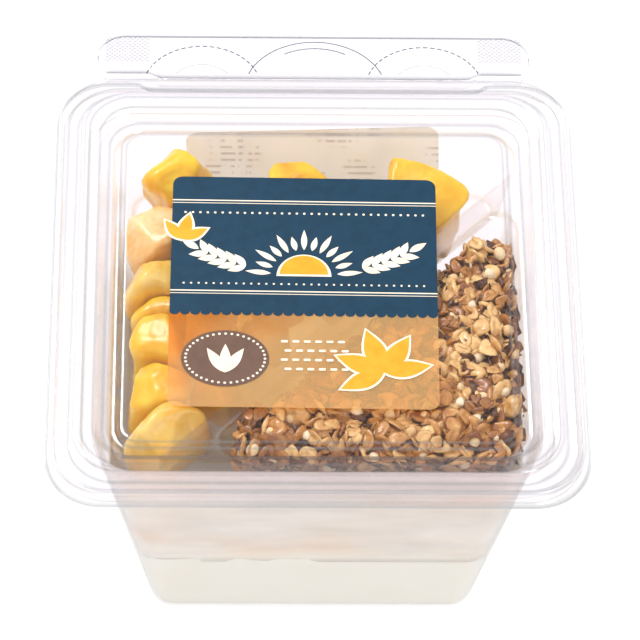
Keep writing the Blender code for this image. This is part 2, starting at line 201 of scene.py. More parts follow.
def blend(tree, share, first, second):
    """Two colours, mixed by share."""
    return add(tree, "ShaderNodeMix", {0: share, 6: first, 7: second},
               data_type="RGBA").outputs[2]


def mix_shaders(tree, share, first, second):
    return add(tree, "ShaderNodeMixShader", {0: share, 1: first, 2: second}).outputs["Shader"]


def roughened(tree, height, strength, distance):
    """The normal of a surface roughened by height, over a distance in mm."""
    return add(tree, "ShaderNodeBump", {"Height": height, "Strength": strength,
                                        "Distance": distance * MM}).outputs["Normal"]


def new_material(name):
    material = bpy.data.materials.new(name)
    material.use_nodes = True
    material.node_tree.nodes.clear()
    return material, material.node_tree


def finish_material(tree, shader_socket):
    add(tree, "ShaderNodeOutputMaterial", {"Surface": shader_socket})


def ramp(tree, factor, stops):
    """A colour ramp through (position, hex colour) stops."""
    node = add(tree, "ShaderNodeValToRGB", {"Fac": factor})
    band = node.color_ramp
    while len(band.elements) < len(stops):
        band.elements.new(0.5)
    for element, (position, colour) in zip(band.elements, stops):
        element.position = position
        element.color = linear(colour)
    return node.outputs["Color"]


def spread(tree, factor, low, high, to_low=0.0, to_high=1.0):
    """Stretch the part of a value between low and high over a new range, clamped."""
    node = add(tree, "ShaderNodeMapRange", {
        "Value": factor, "From Min": low, "From Max": high,
        "To Min": to_low, "To Max": to_high,
    })
    return node.outputs["Result"]


def object_noise(tree, feature_mm, stretch=(1, 1, 1), detail=3.0, shift=0.0):
    """Noise whose blobs are about feature_mm across, on Object coordinates."""
    place = add(tree, "ShaderNodeTexCoord").outputs["Object"]
    scale = [value / (feature_mm * MM) for value in stretch]
    moved = add(tree, "ShaderNodeMapping", {
        "Vector": place, "Location": (shift, shift * 0.7, shift * 0.3), "Scale": scale,
    })
    return add(tree, "ShaderNodeTexNoise", {
        "Vector": moved.outputs["Vector"], "Scale": 1.0, "Detail": detail,
    }).outputs["Fac"]


print("material helpers ready; navy in linear light is", linear("#21485F")[:3])

# %% [markdown]
# ## Clear PET
#
# Clear sheet is hard to draw because it has no colour of its own. Three things give it
# away. Where it faces us, it lets everything through. Where it turns edge-on, it
# mirrors the white room (Schlick's rule: the mirror's share rises with the fifth power
# of one minus the cosine). And in the tight bends left by the mould it works as a
# little lens, so we see a thin grey line along each bend. Nothing here refracts, so that
# grey is painted shade: the see-through tint is greyed in each bend, and also where the
# sheet turns edge-on. The meshes carry a "bend" value for the bends, 1 in a bend and 0
# on a flat.
#
# A Transparent shader is used and not a refracting one: the sheet is under half a
# millimetre thick, so it hardly moves what is behind it, and lamps reach the food.

# %% The clear sheet material
def clear_sheet(name, painted_edge_shade="#C4C6C9", bend_strength=0.36, haze=0.0):
    """Formed clear PET: IOR 1.575, glossy, painted grey shade where it bends or turns edge-on."""
    material, tree = new_material(name)
    facing = add(tree, "ShaderNodeLayerWeight", {"Blend": 0.5}).outputs["Facing"]
    bend = add(tree, "ShaderNodeAttribute", attribute_name="bend").outputs["Fac"]
    bend = calc(tree, "POWER", bend, 2.6)
    edge_on = calc(tree, "POWER", facing, 9.0)
    # The grey share is painted shade: it greys the see-through tint in bends and edge-on, for the
    # lens and refraction that a Transparent shader can't show.
    grey = calc(tree, "MAXIMUM", edge_on, calc(tree, "MULTIPLY", bend, bend_strength))
    tint = blend(tree, grey, linear("#FFFEFF"), linear(painted_edge_shade))
    through = add(tree, "ShaderNodeBsdfTransparent", {"Color": tint}).outputs["BSDF"]
    glint = calc(tree, "MULTIPLY_ADD", bend, 0.1, 0.02 + haze)
    mirror_share = calc(tree, "MULTIPLY_ADD", calc(tree, "POWER", facing, 5.0), 0.6, glint,
                        clamp=True)
    uneven = roughened(tree, object_noise(tree, 9.0, detail=1.0), 0.12, 0.2)
    gloss = add(tree, "ShaderNodeBsdfAnisotropic", {
        "Color": linear("#F4F5F7"), "Roughness": 0.12, "Normal": uneven,
    }).outputs["BSDF"]
    finish_material(tree, mix_shaders(tree, mirror_share, through, gloss))
    return material


# Each sheet's painted edge shade; the tray's is warm, the colour of the food seen through its bends.
lid_pet = clear_sheet("clear_pet_lid")
tub_pet = clear_sheet("clear_pet_tub", painted_edge_shade="#E9E6DF", bend_strength=0.3)
tray_pet = clear_sheet("clear_pet_tray", painted_edge_shade="#F3E6CE", bend_strength=0.28)
strip_pet = clear_sheet("clear_pet_strip", painted_edge_shade="#B3B6BE", bend_strength=0.55)
mark_pet = clear_sheet("clear_pet_pressed_marks", painted_edge_shade="#9C9CAA", bend_strength=0.8)
print("clear sheet materials:", lid_pet.name, tub_pet.name, tray_pet.name, strip_pet.name)

# %% [markdown]
# ## Drawing a formed sheet
#
# The lid and the tub are square rings stacked up a profile: at each level we know half
# the width, the height and the corner's radius. Every bend in the profile is rounded
# with a small curve, because a heated sheet never folds sharply. That is a loft between
# like sections, and the bends are marked as they are made.

# %% Helpers for formed sheets
CORNER_STEPS = 14
SIDE_STEPS = 44               # points along a straight side, where its shape changes


def inset_polygon(points, distance):
    """Move every edge of a convex, anticlockwise polygon inwards."""
    lines = []
    for index, point in enumerate(points):
        start = Vector(point)
        along = (Vector(points[(index + 1) % len(points)]) - start).normalized()
        lines.append((start + Vector((-along.y, along.x)) * distance, along))
    corners = []
    for index, (after, along_after) in enumerate(lines):
        before, along_before = lines[index - 1]
        reach = (after - before).cross(along_after) / along_before.cross(along_after)
        corners.append(before + along_before * reach)
    return corners


def rounded_outline(points, radii, steps=CORNER_STEPS, side_steps=1):
    """Round a convex, anticlockwise polygon's corners, and divide its straight sides."""
    outline = []
    for index, radius in enumerate(radii):
        corner = Vector(points[index])
        arriving = (corner - Vector(points[index - 1])).normalized()
        leaving = (Vector(points[(index + 1) % len(points)]) - corner).normalized()
        turn = arriving.angle(leaving)
        start = corner - arriving * radius * math.tan(turn / 2)
        centre = start + Vector((-arriving.y, arriving.x)) * radius
        arc = [centre + Matrix.Rotation(turn * step / steps, 2) @ (start - centre)
               for step in range(steps + 1)]
        outline.append(arc)
    ring = []
    for index, arc in enumerate(outline):
        ring += arc
        following = outline[(index + 1) % len(outline)][0]
        for step in range(1, side_steps):
            ring.append(arc[-1].lerp(following, step / side_steps))
    return ring


def rounded_square(half, radius, steps=CORNER_STEPS, side_steps=1):
    corners = [(half, -half), (half, half), (-half, half), (-half, -half)]
    return rounded_outline(corners, [radius] * 4, steps, side_steps)


def soften(profile, steps=4):
    """Round each inner corner of a profile of (half, height, corner radius, bend size).

    Returns (half, height, corner radius, bend) rows, where bend is 1 in a curve."""
    rows = [profile[0][:3] + (1.0,)]
    for before, point, after in zip(profile, profile[1:], profile[2:]):
        here, start, end = (np.array(row[:3], float) for row in (point, before, after))
        into, out = start - here, end - here
        cut_in = min(point[3], np.linalg.norm(into[:2]) * 0.48)
        cut_out = min(point[3], np.linalg.norm(out[:2]) * 0.48)
        first = here + into / max(np.linalg.norm(into[:2]), 1e-6) * cut_in
        last = here + out / max(np.linalg.norm(out[:2]), 1e-6) * cut_out
        for step in range(steps + 1):
            share = step / steps
            place = first * (1 - share) ** 2 + here * 2 * share * (1 - share) + last * share ** 2
            rows.append(tuple(place) + (math.sin(math.pi * share),))
    rows.append(profile[-1][:3] + (1.0,))
    return rows


def mesh_piece(name, bm, material, smooth_angle=50):
    """Turn a bmesh in millimetres into an object in metres, smooth but for sharp edges."""
    bmesh.ops.scale(bm, vec=(MM, MM, MM), verts=bm.verts)
    mesh = bpy.data.meshes.new(name)
    bm.to_mesh(mesh)
    bm.free()
    mesh.materials.append(material)
    mesh.shade_smooth()
    mesh.set_sharp_from_angle(angle=math.radians(smooth_angle))
    piece = bpy.data.objects.new(name, mesh)
    bpy.context.scene.collection.objects.link(piece)
    return piece


def smooth_object(name, bm):
    """A smooth object in no scene yet, from a bmesh in metres."""
    mesh = bpy.data.meshes.new(name)
    bm.to_mesh(mesh)
    bm.free()
    mesh.shade_smooth()
    return bpy.data.objects.new(name, mesh)


def welded(node):
    """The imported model's mesh for a node, with its corners joined."""
    bm = bmesh.new()
    bm.from_mesh(frame["nodes"][node].data)
    bmesh.ops.remove_doubles(bm, verts=bm.verts, dist=0.01 * MM)
    return bm


def reskinned(name, bm, grid, slumps=0):
    """A piece whose skin is rebuilt on a fine grid, given in mm, and let slump a little."""
    piece = smooth_object(name, bm)
    bpy.context.scene.collection.objects.link(piece)
    skin = piece.modifiers.new("skin", "REMESH")
    skin.mode = "VOXEL"
    skin.voxel_size = grid * MM
    if slumps:
        piece.modifiers.new("slump", "SMOOTH").iterations = slumps
    return apply_modifiers(piece)


def add_plate(bm, points, thick):
    """A thin plate that stands on a flat outline."""
    face = bm.faces.new([bm.verts.new(point) for point in points])
    grown = bmesh.ops.extrude_face_region(bm, geom=[face])
    moved = [item for item in grown["geom"] if isinstance(item, bmesh.types.BMVert)]
    bmesh.ops.translate(bm, verts=moved, vec=(0, 0, thick))


def ease(value):
    """0 up to 0, 1 from 1 on, and a smooth step between."""
    value = min(1.0, max(0.0, value))
    return value * value * (3 - 2 * value)


def apply_modifiers(piece):
    """Replace a piece's mesh by what its modifiers make, and take them off."""
    graph = bpy.context.evaluated_depsgraph_get()
    done = bpy.data.meshes.new_from_object(piece.evaluated_get(graph), depsgraph=graph)
    piece.modifiers.clear()
    piece.data = done
    return piece


def thicken(piece, wall=SHEET):
    """Give an open sheet its wall, on the side that its faces turn away from."""
    sheet = piece.modifiers.new("wall", "SOLIDIFY")
    sheet.thickness = wall * MM
    sheet.offset = -1.0
    return apply_modifiers(piece)


def add_ring(bm, outline, height, bend=0.0):
    layer = bm.verts.layers.float.get("bend") or bm.verts.layers.float.new("bend")
    ring = []
    for point in outline:
        vert = bm.verts.new((point[0], point[1], height))
        vert[layer] = bend
        ring.append(vert)
    return ring


def bridge(bm, lower, upper):
    for index in range(len(lower)):
        after = (index + 1) % len(lower)
        bm.faces.new((lower[index], lower[after], upper[after], upper[index]))


def formed_sheet(name, profile, material, close_first=False, close_last=False, shape=None):
    """Loft a softened profile of square rings, close an end if asked, add the wall.

    A free edge counts as a bend, and a closed end doesn't. shape can move each point of
    a ring, for what the profile alone can't say."""
    bm = bmesh.new()
    bm.verts.layers.float.new("bend")
    rings = []
    rows = soften(profile)
    if close_first:
        rows[0] = rows[0][:3] + (0.0,)
    if close_last:
        rows[-1] = rows[-1][:3] + (0.0,)
    for half, height, corner, bend in rows:
        outline = rounded_square(half, corner, side_steps=SIDE_STEPS if shape else 1)
        if shape:
            outline = [shape(point) for point in outline]
        rings.append(add_ring(bm, outline, height, bend))
    for lower, upper in zip(rings, rings[1:]):
        bridge(bm, lower, upper)
    if close_first:
        bm.faces.new(list(reversed(rings[0])))
    if close_last:
        bm.faces.new(rings[-1])
    return thicken(mesh_piece(name, bm, material))


print("a square ring has", len(rounded_square(50, 10)), "points")

# %% [markdown]
# ## The lid
#
# From the outside in: a short skirt, the flat-topped rim, a moat just inside it, a bead
# that stands a little proud, a slope down to a step and, last, the flat panel that
# carries the label. The steps stiffen the thin sheet and let the packs stack. It is one
# loft, so the bends run round the corners without a break. Along the back, between two
# notches, the rim stops short, because the sheet runs on there as the tear strip.

# %% Build the lid
LID_PROFILE = [               # half width, height, corner radius, bend size
    (RIM_HALF + 1.2, RIM_TOP - 5.0, 13.4, 0.0),
    (RIM_HALF + 0.25, RIM_TOP - 0.6, 13.2, 0.8),
    (RIM_HALF - 0.4, RIM_TOP, 12.8, 0.5),
    (RIM_HALF - 1.0, RIM_TOP - 0.3, 12.6, 0.5),
    (RIM_HALF - 1.9, MOAT_FLOOR, 12.2, 0.8),
    (58.2, MOAT_FLOOR, 11.2, 0.8),
    (57.2, RIM_TOP + 0.5, 10.8, 0.7),
    (56.3, RIM_TOP + 0.9, 10.4, 0.6),
    (55.2, RIM_TOP + 0.5, 10.0, 0.8),
    (52.4, RIM_TOP + 0.1, 8.8, 0.8),
    (50.4, STEP_FLOOR, 7.6, 0.8),
    (47.4, STEP_FLOOR, 5.2, 0.9),
    (46.4, PANEL_TOP, 4.6, 0.9),
    (44.6, PANEL_TOP, 3.4, 0.0),
]


def hinge_notch(point):
    """Between its ends the back of the rim is drawn in to the line of the tear strip."""
    over = max(0.0, point[1] - HINGE_LINE)
    return (point[0], point[1] - over * ease((NOTCH_HALF + 2.0 - abs(point[0])) / 4.0))


lid_shell = formed_sheet("lid_shell", LID_PROFILE, lid_pet, close_last=True, shape=hinge_notch)
print("lid shell has", len(lid_shell.data.polygons), "faces")

# %% [markdown]
# ## The tub
#
# The same loft, open at the top. Its wall leans out by about 9.3 degrees so that tubs
# nest, a narrow ledge near the top carries the tray, and the flange turns down at its
# edge inside the lid's skirt. The bottom corners are the tightest.

# %% Build the tub
FLANGE_UNDER = FLANGE_TOP - SHEET
RISER = tub_half(LEDGE_UNDER) + LEDGE_WIDTH


def tub_row(half, height, bend):
    corner = tub_corner(height) + max(0.0, half - tub_half(height)) * 0.35
    return (half, height, corner, bend)


TUB_PROFILE = [
    tub_row(TUB_FOOT_HALF - 3.4, 0.0, 0.0),
    tub_row(TUB_FOOT_HALF - 0.1, 0.0, 2.4),
    tub_row(tub_half(LEDGE_UNDER), LEDGE_UNDER, 0.5),
    tub_row(RISER, LEDGE_UNDER, 0.5),
    tub_row(RISER + 0.2, FLANGE_UNDER, 0.6),
    tub_row(RIM_HALF - 1.1, FLANGE_UNDER, 0.6),
    tub_row(RIM_HALF - 0.9, FLANGE_UNDER - 1.3, 0.0),
]
tub_shell = formed_sheet("tub_shell", TUB_PROFILE, tub_pet, close_first=True)
print("tub shell stands on", round(2 * TUB_FOOT_HALF), "mm and opens to", round(2 * RISER), "mm")

# %% [markdown]
# ## The tray
#
# The tray's rim is flat, with two pockets let down from it and a slanting bridge left
# between them. Each pocket is a loft of a rounded polygon, and the flat rim is filled
# between the outer edge and the two mouths.

# %% Build the tray
def fruit_pocket(half):
    cut = DIVIDER_FRUIT_SIDE
    return [(cut - half, -half), (half, half - cut), (half, half), (-half, half), (-half, -half)]


def granola_pocket(half):
    cut = DIVIDER_GRANOLA_SIDE
    return [(cut - half, -half), (half, -half), (half, half - cut)]


def pocket_radii(corners, height, foot_inset):
    """Corners against the tub's wall follow it; those at the divider have their own."""
    at_divider = 5.0 if len(corners) == 3 else 2.0
    at_wall = tub_corner(height) - 1.3 - 1.4 * foot_inset
    return [at_wall if abs(abs(x) - abs(y)) < 1 else at_divider for x, y in corners]


POCKET_CURVE = [              # share of the depth, inset beyond the draft, bend
    (0.0, -0.5, 0.0), (0.0, -0.1, 0.5), (0.008, 0.2, 1.0), (0.03, 0.42, 1.0), (0.06, 0.5, 0.2),
    (0.9, 0.55, 0.0), (0.95, 0.9, 0.5), (0.985, 1.7, 1.0), (1.0, 3.2, 0.3), (1.0, 3.9, 0.0),
]


def build_tray():
    bm = bmesh.new()
    bm.verts.layers.float.new("bend")
    rim_half = RISER - SHEET - GAP
    outer = add_ring(bm, rounded_square(rim_half, 10.4), TRAY_RIM_UNDER, 1.0)
    inner = add_ring(bm, rounded_square(rim_half - 0.5, 9.9), TRAY_RIM_UNDER)
    bridge(bm, inner, outer)
    edges = [bm.edges.get((inner[i - 1], inner[i])) for i in range(len(inner))]
    for pocket in (fruit_pocket, granola_pocket):
        corners = pocket(TRAY_MOUTH_HALF)
        rings = []
        for depth, inset, bend in reversed(POCKET_CURVE):
            height = TRAY_RIM_UNDER - POCKET_DEPTH * depth
            radii = pocket_radii(corners, height, max(0.0, inset))
            outline = inset_polygon(corners, TRAY_DRAFT * POCKET_DEPTH * depth + inset)
            rings.append(add_ring(bm, rounded_outline(outline, radii), height, bend))
        bm.faces.new(list(reversed(rings[0])))
        for lower, upper in zip(rings, rings[1:]):
            bridge(bm, lower, upper)
        mouth = rings[-1]
        edges += [bm.edges.get((mouth[i - 1], mouth[i])) for i in range(len(mouth))]
    bmesh.ops.triangle_fill(bm, use_beauty=True, edges=edges, normal=(0, 0, -1))
    bm.normal_update()
    for face in bm.faces:
        if abs(face.calc_center_median().z - TRAY_RIM_UNDER) < 0.01 and face.normal.z > 0:
            face.normal_flip()
    return thicken(mesh_piece("tray_shell", bm, tray_pet))


tray_shell = build_tray()
print("tray pockets are", POCKET_DEPTH, "mm deep")

# %% [markdown]
# What lies in a pocket presses flat against its clear walls, and what stands highest
# presses against the lid. The next function does that to any piece: points outside the
# pocket are pushed back to its walls, its rounded corners and the lid's panel.

# %% Press a piece against the pocket's walls
CORNER_CUT = 5.4              # the pocket's round corners, taken as straight cuts


def soft_limit(values, limit, soft):
    """Squeeze what passes limit - soft ever closer to the limit, without a fold."""
    past = np.clip(values - limit + soft, 0, None)
    return np.where(past > 0, limit - soft * np.exp(-past / soft), values)


def keep_by_walls(piece, clear, divider_side=1):
    """Keep a piece inside a pocket. divider_side is 1 for the fruit, -1 for granola."""
    mesh = piece.data
    points = np.empty(len(mesh.vertices) * 3)
    mesh.vertices.foreach_get("co", points)
    points = points.reshape(-1, 3) / MM
    x, y, z = points.T
    z[:] = soft_limit(z, PANEL_TOP - SHEET - clear, 1.6)
    z[:] = -soft_limit(-z, -POCKET_FLOOR - clear, 0.8)
    wall = TRAY_MOUTH_HALF - TRAY_DRAFT * (TRAY_RIM_UNDER - z) - SHEET - 0.5 - clear
    for values in (x, y):
        values[:] = soft_limit(values, wall, 1.0)
        values[:] = -soft_limit(-values, wall, 1.0)
    for side_x, side_y in ((1, -1), (-1, -1), (-1, 1), (1, 1)):
        beyond = np.clip(side_x * x + side_y * y - 2 * wall + CORNER_CUT, 0, None) / 2
        x -= side_x * beyond
        y -= side_y * beyond
    lean = TRAY_DRAFT * (TRAY_RIM_UNDER - z) + SHEET + clear
    edge = DIVIDER_FRUIT_SIDE if divider_side == 1 else DIVIDER_GRANOLA_SIDE
    over = lean * math.sqrt(2) + divider_side * (x - y - edge)
    shift = divider_side * np.clip(over, 0, None) / 2 * (z < TRAY_RIM_UNDER)
    x -= shift
    y += shift
    mesh.vertices.foreach_set("co", (points * MM).ravel())
    mesh.update()
    return piece


print("a fruit chunk may reach", round(PANEL_TOP - SHEET - 0.25, 1), "mm high")

# %% [markdown]
# ## The tear strip
#
# A single sheet stands out behind the rim between two rounded ends. It is folded back
# under itself, so from the side it is a thin wedge. Its outline is a rule: straight, and
# at each end a quarter circle, so one grid bent by a formula makes it.

# %% Build the tear strip
strip_low, strip_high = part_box("tear_strip")
STRIP_HALF = strip_high.x / MM
STRIP_FAR = strip_high.y / MM - 0.01
STRIP_SHEET = 0.35
STRIP_CORNER = 7.0
STRIP_TOP = strip_high.z / MM - 0.02
STRIP_BOTTOM = strip_low.z / MM + 0.02
STRIP_NEAR = HINGE_LINE + 2 * GAP
STRIP_MIDDLE = (STRIP_TOP + STRIP_BOTTOM) / 2
STRIP_FOLD = 0.9              # height of the fold along the far edge
BESIDE_NOTCH = 1.5            # the strip starts this much further out beside the notches


def strip_level(outwards):
    """Height of the strip's upper sheet, from 0 at the hinge to 1 at the fold."""
    return STRIP_TOP + (STRIP_MIDDLE + STRIP_FOLD / 2 - STRIP_TOP) * outwards


def build_strip():
    bm = bmesh.new()
    bmesh.ops.create_grid(bm, x_segments=160, y_segments=32, size=1.0)
    layer = bm.verts.layers.float.new("bend")
    for vert in bm.verts:
        along, across = vert.co.x, vert.co.y
        x = math.sin(along * math.pi / 2) * STRIP_HALF
        past = max(0.0, abs(x) - (STRIP_HALF - STRIP_CORNER))
        far = STRIP_FAR - STRIP_CORNER + math.sqrt(max(0.0, STRIP_CORNER ** 2 - past ** 2))
        start = STRIP_NEAR + BESIDE_NOTCH * ease((abs(x) - NOTCH_HALF + 2.5) / 4.0)
        outwards = math.cos(across * math.pi / 2) ** 0.55
        half_height = strip_level(outwards) - STRIP_MIDDLE
        rise = max(-1.0, min(1.0, across * 4))
        # The fold and the two ends get bend 1, which paints a grey line of shade along them.
        vert[layer] = 1.0 if outwards > 0.97 or abs(along) > 0.999 else 0.0
        narrow = 1 - 0.045 * (1 - outwards) ** 2
        vert.co = (x * narrow, start + (far - start) * outwards,
                   STRIP_MIDDLE + half_height * rise)
    bmesh.ops.reverse_faces(bm, faces=bm.faces)
    return thicken(mesh_piece("tear_strip_sheet", bm, strip_pet), STRIP_SHEET)


tear_strip = build_strip()
print("tear strip reaches", round(STRIP_FAR - RIM_HALF, 1), "mm behind the rim")

# %% [markdown]
# The strip is pressed with marks that tell a finger where to pull: two perforated arcs
# where it tears, a plain double arc between them, and a crossed grip pattern at each
# end. Each mark is a narrow raised line that follows a path over the sheet.

# %% Press the marks into the strip
ARC_FOOT = STRIP_NEAR + 1.4   # every arc ends on this line
GRIP_LOW, GRIP_HIGH = 68.0, 76.4
GRIP_NEAR, GRIP_FAR = 41.0, 52.0
GRIP_PITCH = 1.25
press_marks = bmesh.new()
press_marks.verts.layers.float.new("bend")


def on_strip(point):
    outwards = (point[1] - STRIP_NEAR) / (STRIP_FAR - STRIP_NEAR)
    return Vector((point[0], point[1], strip_level(outwards)))


def press(path, width, mark=1.0, thick=0.05):
    """Raise a narrow line on the strip's upper sheet along a path. mark is how dark its painted
    shade is.
    """
    layer = press_marks.verts.layers.float["bend"]
    sections = []
    for index, point in enumerate(path):
        before, after = path[max(index - 1, 0)], path[min(index + 1, len(path) - 1)]
        along = (Vector(after) - Vector(before)).normalized()
        aside = Vector((-along.y, along.x, 0)) * width / 2
        centre = on_strip(point)
        section = []
        for side, lift in ((-1, 0.0), (1, 0.0), (1, thick), (-1, thick)):
            vert = press_marks.verts.new(centre + aside * side + Vector((0, 0, lift)))
            vert[layer] = mark
            section.append(vert)
        sections.append(section)
    for first, second in zip(sections, sections[1:]):
        bridge(press_marks, first, second)
    press_marks.faces.new(sections[0][::-1])
    press_marks.faces.new(sections[-1])


def arc_path(middle_x, radius, top, low_angle, high_angle, steps):
    centre_y = top - radius
    angles = [low_angle + (high_angle - low_angle) * step / steps for step in range(steps + 1)]
    return [(middle_x - radius * math.cos(a), centre_y + radius * math.sin(a)) for a in angles]


def arc_to_foot(middle_x, radius, top, steps=40):
    low = math.asin((ARC_FOOT - top + radius) / radius)
    return arc_path(middle_x, radius, top, low, math.pi - low, steps)


press(arc_to_foot(0.3, 17.7, 75.1), 0.3)
press(arc_path(0.3, 15.3, 72.8, math.radians(60), math.radians(120), 16), 0.3)
for middle_x in (-27.8, 27.4):
    dashes = arc_to_foot(middle_x, 14.6, 73.4, 60)
    for start in range(0, 60, 3):
        press(dashes[start:start + 3], 0.34)
    press(arc_to_foot(middle_x, 8.0, 66.9, 12), 0.2, 0.7)
for side in (-1, 1):
    deep, wide = GRIP_HIGH - GRIP_LOW, GRIP_FAR - GRIP_NEAR
    for line in range(int((wide + deep) / GRIP_PITCH)):
        reach = GRIP_PITCH * (line + 0.5)
        start_x, start_y = max(0.0, reach - deep), min(deep, reach)
        end_x, end_y = min(wide, reach), max(0.0, reach - wide)
        for flip in (False, True):
            ends = [(start_x, start_y), (end_x, end_y)]
            path = [(side * (GRIP_NEAR + (wide - x if flip else x)), GRIP_LOW + y)
                    for x, y in ends]
            press(path, 0.16, 0.66)
bmesh.ops.recalc_face_normals(press_marks, faces=press_marks.faces)
strip_marks = mesh_piece("tear_strip_marks", press_marks, mark_pet, smooth_angle=30)
print("pressed marks have", len(strip_marks.data.polygons), "faces")

# %% [markdown]
# ## Yogurt
#
# The yogurt fills the tub's foot. Its body reaches just into the wall, because any air
# gap would show as a dark line. Its top was spooned, so soft folds run across it. Thin
# yogurt is a good diffuser: it takes on some light below its skin, which a little
# subsurface gives.

# %% The yogurt's finish
def yogurt_finish(name):
    """Stirred yogurt: cream white, satin and faintly translucent, tinted by the fruit."""
    material, tree = new_material(name)
    stain = spread(tree, object_noise(tree, 22, stretch=(1, 1, 1.6)), 0.5, 0.95)
    colour = ramp(tree, stain, [(0.0, "#D6D4C8"), (0.6, "#D5D1C3"), (1.0, "#D5CAAC")])
    grain = object_noise(tree, 1.6, detail=2)
    normal = roughened(tree, grain, 0.2, 0.1)
    shader = add(tree, "ShaderNodeBsdfPrincipled", {
        "Base Color": colour, "Roughness": 0.42, "Subsurface Weight": 0.25,
        "Subsurface Radius": (1.0, 0.8, 0.6), "Subsurface Scale": 3 * MM, "Normal": normal,
    })
    finish_material(tree, shader.outputs["BSDF"])
    return material


yogurt_white = yogurt_finish("stirred_yogurt")


# %% Build the yogurt
def build_yogurt():
    into_wall = SHEET - 0.12
    bm = bmesh.new()
    foot = [(-3.2, SHEET * 0.5), (-1.2, SHEET * 0.8), (-0.1, 2.2), (0.0, 5.0),
            (0.0, 12.0), (0.0, 19.0)]
    rings = []
    for inset, height in foot:
        half = tub_half(height) - into_wall + inset
        ring = rounded_square(half, tub_corner(height) - into_wall, 8, 20)
        rings.append(add_ring(bm, ring, height))
    rim = rounded_square(tub_half(YOGURT_LEVEL) - into_wall, tub_corner(YOGURT_LEVEL), 8, 20)
    relief_rings = 26
    for step in range(relief_rings):
        share = (step / relief_rings) ** 1.15
        ring = []
        for point in rim:
            place = point * (1 - share)
            fold = noise.noise(Vector((place.x * 0.035, place.y * 0.06, 1.0)))
            ripple = noise.noise(Vector((place.x * 0.14, place.y * 0.2, 2.0)))
            height = YOGURT_LEVEL + 2.2 * fold + 0.7 * ripple + 1.2 * max(0.0, 0.06 - share) / 0.06
            ring.append(bm.verts.new((place.x, place.y, height)))
        rings.append(ring)
    bm.faces.new(list(reversed(rings[0])))
    for lower, upper in zip(rings, rings[1:]):
        bridge(bm, lower, upper)
    bm.faces.new(rings[-1])
    return mesh_piece("yogurt_body", bm, yogurt_white)


yogurt_body = build_yogurt()
print("yogurt stands", YOGURT_LEVEL, "mm deep")

# %% [markdown]
# Filling and shaking leave a skin of yogurt on the wall above the level. It is thickest
# low down, thin and streaky further up, and faintly pink and yellow where fruit juice
# ran into it. The rear wall is nearly clean, and at the front the skin climbs to the
# ledge. It lies on the inside of the wall. A Translucent shader lets the light from
# outside glow through it, and a noise pattern that is stretched sideways mixes it with
# a Transparent one.

# %% Build the film on the wall
def film_finish(name):
    material, tree = new_material(name)
    place = add(tree, "ShaderNodeTexCoord").outputs["Object"]
    split = add(tree, "ShaderNodeSeparateXYZ", {"Vector": place}).outputs
    streaks = object_noise(tree, 16, stretch=(0.55, 0.55, 1.6), detail=4, shift=0.8)
    tints = object_noise(tree, 26, stretch=(0.6, 0.6, 1.3), detail=2, shift=2.1)
    fade = spread(tree, split["Z"], 30 * MM, 61 * MM, 0.97, 0.8)
    thin = spread(tree, split["Z"], 61 * MM, 77 * MM, 1.0, 0.62)
    low = spread(tree, split["Z"], 58 * MM, 62 * MM, 1.0, 0.0)
    front = spread(tree, split["Y"], -46 * MM, -38 * MM, 1.0, 0.0)
    reach = calc(tree, "MAXIMUM", low, front)
    at_rear = spread(tree, split["Y"], 20 * MM, 40 * MM, 1.0, 0.1)
    for share in (thin, reach, at_rear):
        fade = calc(tree, "MULTIPLY", fade, share)
    cover = spread(tree, streaks, 0.3, 0.62, 0.75, 1.04)
    cover = calc(tree, "MULTIPLY", fade, cover, clamp=True)
    colour = ramp(tree, tints, [(0.4, "#EDE8DE"), (0.56, "#ECE3D4"), (0.66, "#ECD8C2"),
                                (0.74, "#EED79C")])
    skin = add(tree, "ShaderNodeBsdfPrincipled", {"Base Color": colour, "Roughness": 0.4})
    glow = add(tree, "ShaderNodeBsdfTranslucent", {"Color": colour})
    skin = mix_shaders(tree, 0.25, skin.outputs["BSDF"], glow.outputs["BSDF"])
    clear = add(tree, "ShaderNodeBsdfTransparent", {"Color": linear("#FFFFFF")})
    finish_material(tree, mix_shaders(tree, cover, clear.outputs["BSDF"], skin))
    return material


FILM_TOP = LEDGE_UNDER - 1.2


def build_film():
    bm = bmesh.new()
    rings = []
    for step in range(20):
        height = YOGURT_LEVEL - 1.0 + (FILM_TOP - YOGURT_LEVEL + 1.0) * step / 19
        half = tub_half(height) - SHEET - 0.06
        rings.append(add_ring(bm, rounded_square(half, tub_corner(height) - SHEET, 8, 4), height))
    for lower, upper in zip(rings, rings[1:]):
        bridge(bm, lower, upper)
    return thicken(mesh_piece("yogurt_film", bm, film_finish("yogurt_skin_on_wall")), 0.12)


yogurt_film = build_film()
print("film climbs to", round(FILM_TOP), "mm")

# %% [markdown]
# ## Fruit
#
# The fruit pocket holds chunks cut by hand from ripe yellow fruit: some deep yellow,
# some pale, one nearly peach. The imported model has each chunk's size and place. Here
# each one is rebuilt as a fine skin over that shape with a voxel remesh, its cut edges
# are let slump a little, and fibres are pressed into it along its length.

